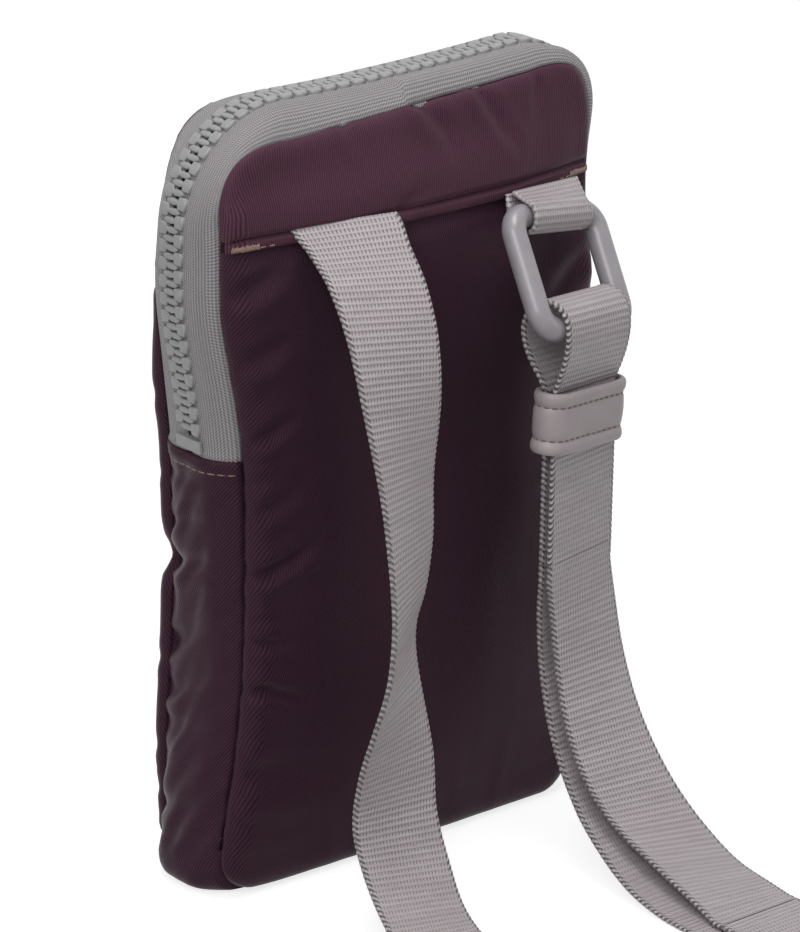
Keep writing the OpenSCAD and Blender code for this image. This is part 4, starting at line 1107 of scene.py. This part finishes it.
def straps():
    left = [turned(p) for p in smoothed(LEFT_ROUTE, 10)]
    strap("left_strap", left, "pouch", "hung", ["yoke"], "strap_left", flare=0.12)
    strap("tab", tab_places(), "pouch", "folded", ["ring"], "ring_tab", width=RING_W - 2 * RING_CORNER)
    strap("strap_loop", in_fold_plane(FOLD_PATH), "ring", "folded", ["ring"], "strap_fold")
    foot_z = FOLD_END + BAR_AT.z
    ends = ("pouch", "ring", (35 * MM, -0.05, 0.03), (34 * MM, -0.037, foot_z * MM))
    strap("hanging_outer", hanging(FRONT_LAYER, OUTER_ROUTE, OUTER_X, FLOOR_OUTER_Z), None, "hung", ["ring"],
          "strap_right_outer", ends=ends)
    strap("hanging_inner", hanging(BACK_LAYER, INNER_ROUTE, INNER_X, FLOOR_INNER_Z), None, "hung", ["ring"],
          "strap_right_inner", ends=ends)

    ends = ("pouch", "adjuster", (RUN_X * MM, -0.103, 0.001), (RUN_X * MM, -0.121, 0.001))
    strap("floor_outer", floor_run(OUTER_X, FLOOR_OUTER_Z), None, "laid", ["floor_inner"],
          "strap_floor_outer", ends=ends)
    strap("floor_inner", floor_run(INNER_X, FLOOR_INNER_Z), None, "laid", ["floor"], "strap_floor_inner",
          ends=ends)
    # Over the adjuster's bars and sewn round its middle one
    middle_z = FLOOR_OUTER_Z + STRAP_T / 2 + GAP + 1.5
    far_z, near_end = FLOOR_OUTER_Z - STRAP_T / 5, 9 + GAP + STRAP_T / 2
    wrap = 1.5 + GAP + STRAP_T / 2
    wide, round_over = wrap + STRAP_T * 1.2 + GAP, (wrap + STRAP_T + GAP) * 0.72
    over = [(near_end, FLOOR_OUTER_Z), (6.85, FLOOR_OUTER_Z), (wide, middle_z),
            (round_over, middle_z + round_over), (0, middle_z + wrap + STRAP_T + GAP),
            (-round_over, middle_z + round_over), (-wide, middle_z), (-6.85, FLOOR_OUTER_Z),
            (-near_end, far_z)]
    strap("adjuster_pass", in_strap_plane(over), "adjuster", "folded", ["adjuster"], "strap_pass")
    sewn_round = [math.radians(-60 - 30 * i) for i in range(9)]
    sewn_end = [(near_end, FLOOR_INNER_Z), (wrap, FLOOR_INNER_Z)] + [
        (wrap * math.cos(a), middle_z + wrap * math.sin(a)) for a in sewn_round]
    strap("sewn_end", in_strap_plane(sewn_end), "adjuster", "folded", ["adjuster"], "strap_sewn_end")
    ends = ("adjuster", "pouch", (RUN_X * MM, -0.1425, 0.001), (RUN_X * MM, -0.1497, 0.001))
    far = [(-ADJUSTER_Y - 9 - GAP - STRAP_T, far_z), (-STACK_Y + 3 * STRAP_T, (far_z + FLOOR_INNER_Z) / 2),
           (-STACK_Y + GAP, FLOOR_INNER_Z)]
    single = strap("floor_single", [(Vector((RUN_X, y, z)), SIDEWAYS) for y, z in far], None, None, None,
                   "strap_floor_single", ends=ends)
    stack(single)


def stack(single):
    """The rest of the strap, folded to and fro low on the floor, where the short piece leads to it."""
    def level(k):
        return STRAP_T / 2 + k * STACK_STEP
    end, bend = STACK_RUN / 2, STACK_STEP / 2
    path = [(RUN_X - STRAP_W / 2, level(1))]
    for k in range(1, STACK_RUNS):
        side = -1 if k % 2 else 1
        path += [(side * (end - 8), level(k)), (side * end, level(k))]
        for a in (math.radians(turn) for turn in (30, 60, 90, 120, 150)):
            path.append((side * (end + bend * math.sin(a)), level(k) + bend * (1 - math.cos(a))))
        path += [(side * end, level(k + 1)), (side * (end - 8), level(k + 1))]
    path.append((-36 + STRAP_W / 2, level(STACK_RUNS)))
    places = [(Vector((x, -STACK_Y - STRAP_W / 2, z)), Vector((0, 1, 0))) for x, z in path]
    strap("strap_bundle", places, "pouch", "folded", ["floor"], "strap_stack", step=0.62,
          with_pieces=[single])


def tube(path, radius, around, closed=False):
    """A round bar along a path of points."""
    rings, last = [], len(path)
    for i, p in enumerate(path):
        a, b = (path[(i - 1) % last], path[(i + 1) % last]) if closed else (
            path[max(i - 1, 0)], path[min(i + 1, last - 1)])
        along = (b - a).normalized()
        wide = along.orthogonal().normalized() if not rings else (wide - along * wide.dot(along)).normalized()
        up = along.cross(wide)
        rings.append([p + (wide * math.cos(t) + up * math.sin(t)) * radius
                      for t in (2 * math.pi * k / around for k in range(around))])
    if closed:
        rings.append(rings[0])
    return close_up(grid(around, len(rings) - 1, lambda i, j: rings[j][i % around]))


def rounded(width, depth, corner, per_side=12):
    """A rectangle's outline with round corners, as points about its middle."""
    points, per_corner = [], 10
    across, up = width / 2 - corner, depth / 2 - corner
    for k, (sx, sy) in enumerate(((1, 1), (-1, 1), (-1, -1), (1, -1))):
        for i in range(per_corner + 1):
            a = math.pi / 2 * (k + i / per_corner)
            points.append(Vector((sx * across + corner * math.cos(a), sy * up + corner * math.sin(a))))
        last = points[-1]
        to = Vector((sx * width / 2, -sy * up)) if k % 2 else Vector((-sx * across, sy * depth / 2))
        points += [last.lerp(to, i / per_side) for i in range(1, per_side)]
    return points


def on_ring(p):
    place = (Matrix.Translation(RING_AT) @ Matrix.Rotation(RING_TURN, 4, "Z")
             @ Matrix.Rotation(RING_TILT, 4, "Y") @ Matrix.Rotation(-RING_LEAN, 4, "X"))
    return place @ Vector((p.x, 0, p.y - RING_H / 2))


def hardware():
    path = [on_ring(p) for p in rounded(RING_W, RING_H, RING_CORNER)]
    piece("ring", tube(path, RING_WIRE / 2 + 0.2, 28, True), ZINC, "ring", "grey_metal", "strap_ring")

    width, z = STRAP_W + 2 * KEEPER_CLEAR + 3, FLOOR_OUTER_Z + STRAP_T / 2 + GAP + 1.5
    frame_path = [Vector((RUN_X + p.x, p.y - ADJUSTER_Y, z)) for p in rounded(width, 15, 2.2)]
    bar = [Vector((RUN_X + width * (i / 8 - 0.5), -ADJUSTER_Y, z)) for i in range(9)]
    bm = joined([tube(frame_path, 1.5, 20, True), tube(bar, 1.45, 20)])
    piece("adjuster", bm, ZINC, "adjuster", "grey_metal", "strap_adjuster")


# The keeper's wall in section: height and how far out, round from the lower edge
KEEPER_PROFILE = [
    (-7.5, 0.1), (-7.38, 0.5), (-7.0, 0.82), (-6.3, 0.98), (-5.4, 0.92), (-4.7, 0.7), (-4.35, 0.48),
    (-4.0, 0.36), (-3.65, 0.5), (-3.2, 0.68), (-2.0, 0.8), (0, 0.84), (2.0, 0.8), (3.2, 0.68), (3.65, 0.5),
    (4.0, 0.36), (4.35, 0.48), (4.7, 0.7), (5.4, 0.92), (6.3, 0.98), (7.0, 0.82), (7.38, 0.5), (7.5, 0.1),
    (7.4, -0.45), (7.0, -0.72), (3.5, -0.8), (0, -0.8), (-3.5, -0.8), (-7.0, -0.72), (-7.4, -0.45)]


def keeper():
    """The leather loop that slides on the doubled strap, with rolled edges and two rows of stitches."""
    place = (Matrix.Translation(BAR_AT - OUT * 1.4 - UP * (KEEPER_DROP + KEEPER_H / 2))
             @ Matrix.Rotation(RING_TURN, 4, "Z") @ Matrix.Rotation(KEEPER_TILT, 4, "Y"))
    width = STRAP_W + 2 * KEEPER_CLEAR + KEEPER_WALL
    depth = 2 * STRAP_T + 2.0 + 2 * KEEPER_CLEAR + KEEPER_WALL
    path = rounded(width, depth, depth / 2 - 0.05, 24)
    count, around = len(path), len(KEEPER_PROFILE)

    def wall(i, out, high):
        a, b = path[(i - 1) % count], path[(i + 1) % count]
        n = Vector(((b - a).y, -(b - a).x)).normalized()
        p = path[i % count]
        out += 0.12 * noise.noise(Vector((p.x / 4, p.y / 4, high / 4)))
        return place @ Vector((p.x + n.x * out, p.y + n.y * out, high))
    bm = grid(around, count, lambda i, j: wall(j, *reversed(KEEPER_PROFILE[i % around])))
    piece("keeper", close_up(bm), LEATHER, "keeper", "leather", "strap_keeper")
    rows = []
    for high in (-4.0, 4.0):
        line = [wall(i, 0.42, high) for i in range(count + 1)]
        rows.append(stitched(line, 2.1, 1.5, 0.24))
    piece("keeper_stitches", joined(rows), GREY_THREAD, "keeper", "leather")


straps()
hardware()
keeper()

for name, material in (("zip_stops", ACETAL), ("zip_slider", ZINC), ("zip_puller", ZINC)):
    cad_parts[name].data.materials.clear()
    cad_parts[name].data.materials.append(material)


# The studio

# The lamps: where each stands and what it lights, in metres, its width and its power
LAMPS = (("key", (-0.48, -0.32, 0.56), (-0.02, 0, 0.08), 0.42, 2.15),
         ("top", (-0.05, -0.1, 1.2), (0, -0.02, 0.1), 0.6, 6.6),
         ("fill", (0.85, -0.7, 0.35), (0, 0, 0.08), 0.9, 0.6))
WHITE = (1, 1, 1, 1)


def studio():
    """A pale floor and a soft key, fill and sky. The floor and sky show white to the camera."""
    scene = bpy.context.scene
    scene.view_settings.view_transform = "Standard"
    sky = bpy.data.worlds.new("studio")
    sky.use_nodes = True
    tree = sky.node_tree
    tree.nodes.clear()
    path = node(tree, "ShaderNodeLightPath").outputs
    direct = node(tree, "ShaderNodeMath", {0: path["Is Camera Ray"], 1: path["Is Transmission Ray"]},
                  operation="MAXIMUM")
    seen = node(tree, "ShaderNodeMath", {0: direct, 1: path["Is Glossy Ray"]}, operation="MAXIMUM")
    soft = node(tree, "ShaderNodeBackground", {0: WHITE, 1: 0.24})
    bright = node(tree, "ShaderNodeBackground", {0: WHITE, 1: 1.0})
    both = node(tree, "ShaderNodeMixShader", {0: seen, 1: soft, 2: bright})
    node(tree, "ShaderNodeOutputWorld", {0: both})
    scene.world = sky

    for name, place, aim, size, power in LAMPS:
        lamp = bpy.data.lights.new(name, "AREA")
        lamp.shape, lamp.size, lamp.energy = "DISK", size, power
        made = placed(name, lamp)
        made.location = place
        made.rotation_euler = (Vector(aim) - Vector(place)).to_track_quat("-Z", "Y").to_euler()

    bm = bmesh.new()
    bmesh.ops.create_grid(bm, x_segments=1, y_segments=1, size=3.0)
    floor = placed("floor", meshed("floor", bm))
    floor.location.z = -0.0002
    made, tree, surface = finish("white paper", {"Roughness": 0.9})
    path = node(tree, "ShaderNodeLightPath").outputs
    seen = node(tree, "ShaderNodeMath", {0: path["Is Camera Ray"], 1: path["Is Glossy Ray"]},
                operation="MAXIMUM")
    paper = node(tree, "ShaderNodeMix", {0: seen, 6: (0.6, 0.6, 0.6, 1), 7: (0.92, 0.92, 0.92, 1)},
                 data_type="RGBA")
    tree.links.new(paper.outputs[2], surface.inputs["Base Color"])
    share = node(tree, "ShaderNodeMath", {0: seen, 1: 0.5}, operation="MULTIPLY")
    glow = node(tree, "ShaderNodeEmission", {0: WHITE, 1: 1.55})
    both = node(tree, "ShaderNodeMixShader", {0: share, 1: surface, 2: glow})
    end = next(n for n in tree.nodes if n.type == "OUTPUT_MATERIAL")
    tree.links.new(both.outputs[0], end.inputs[0])
    floor.data.materials.append(made)


studio()
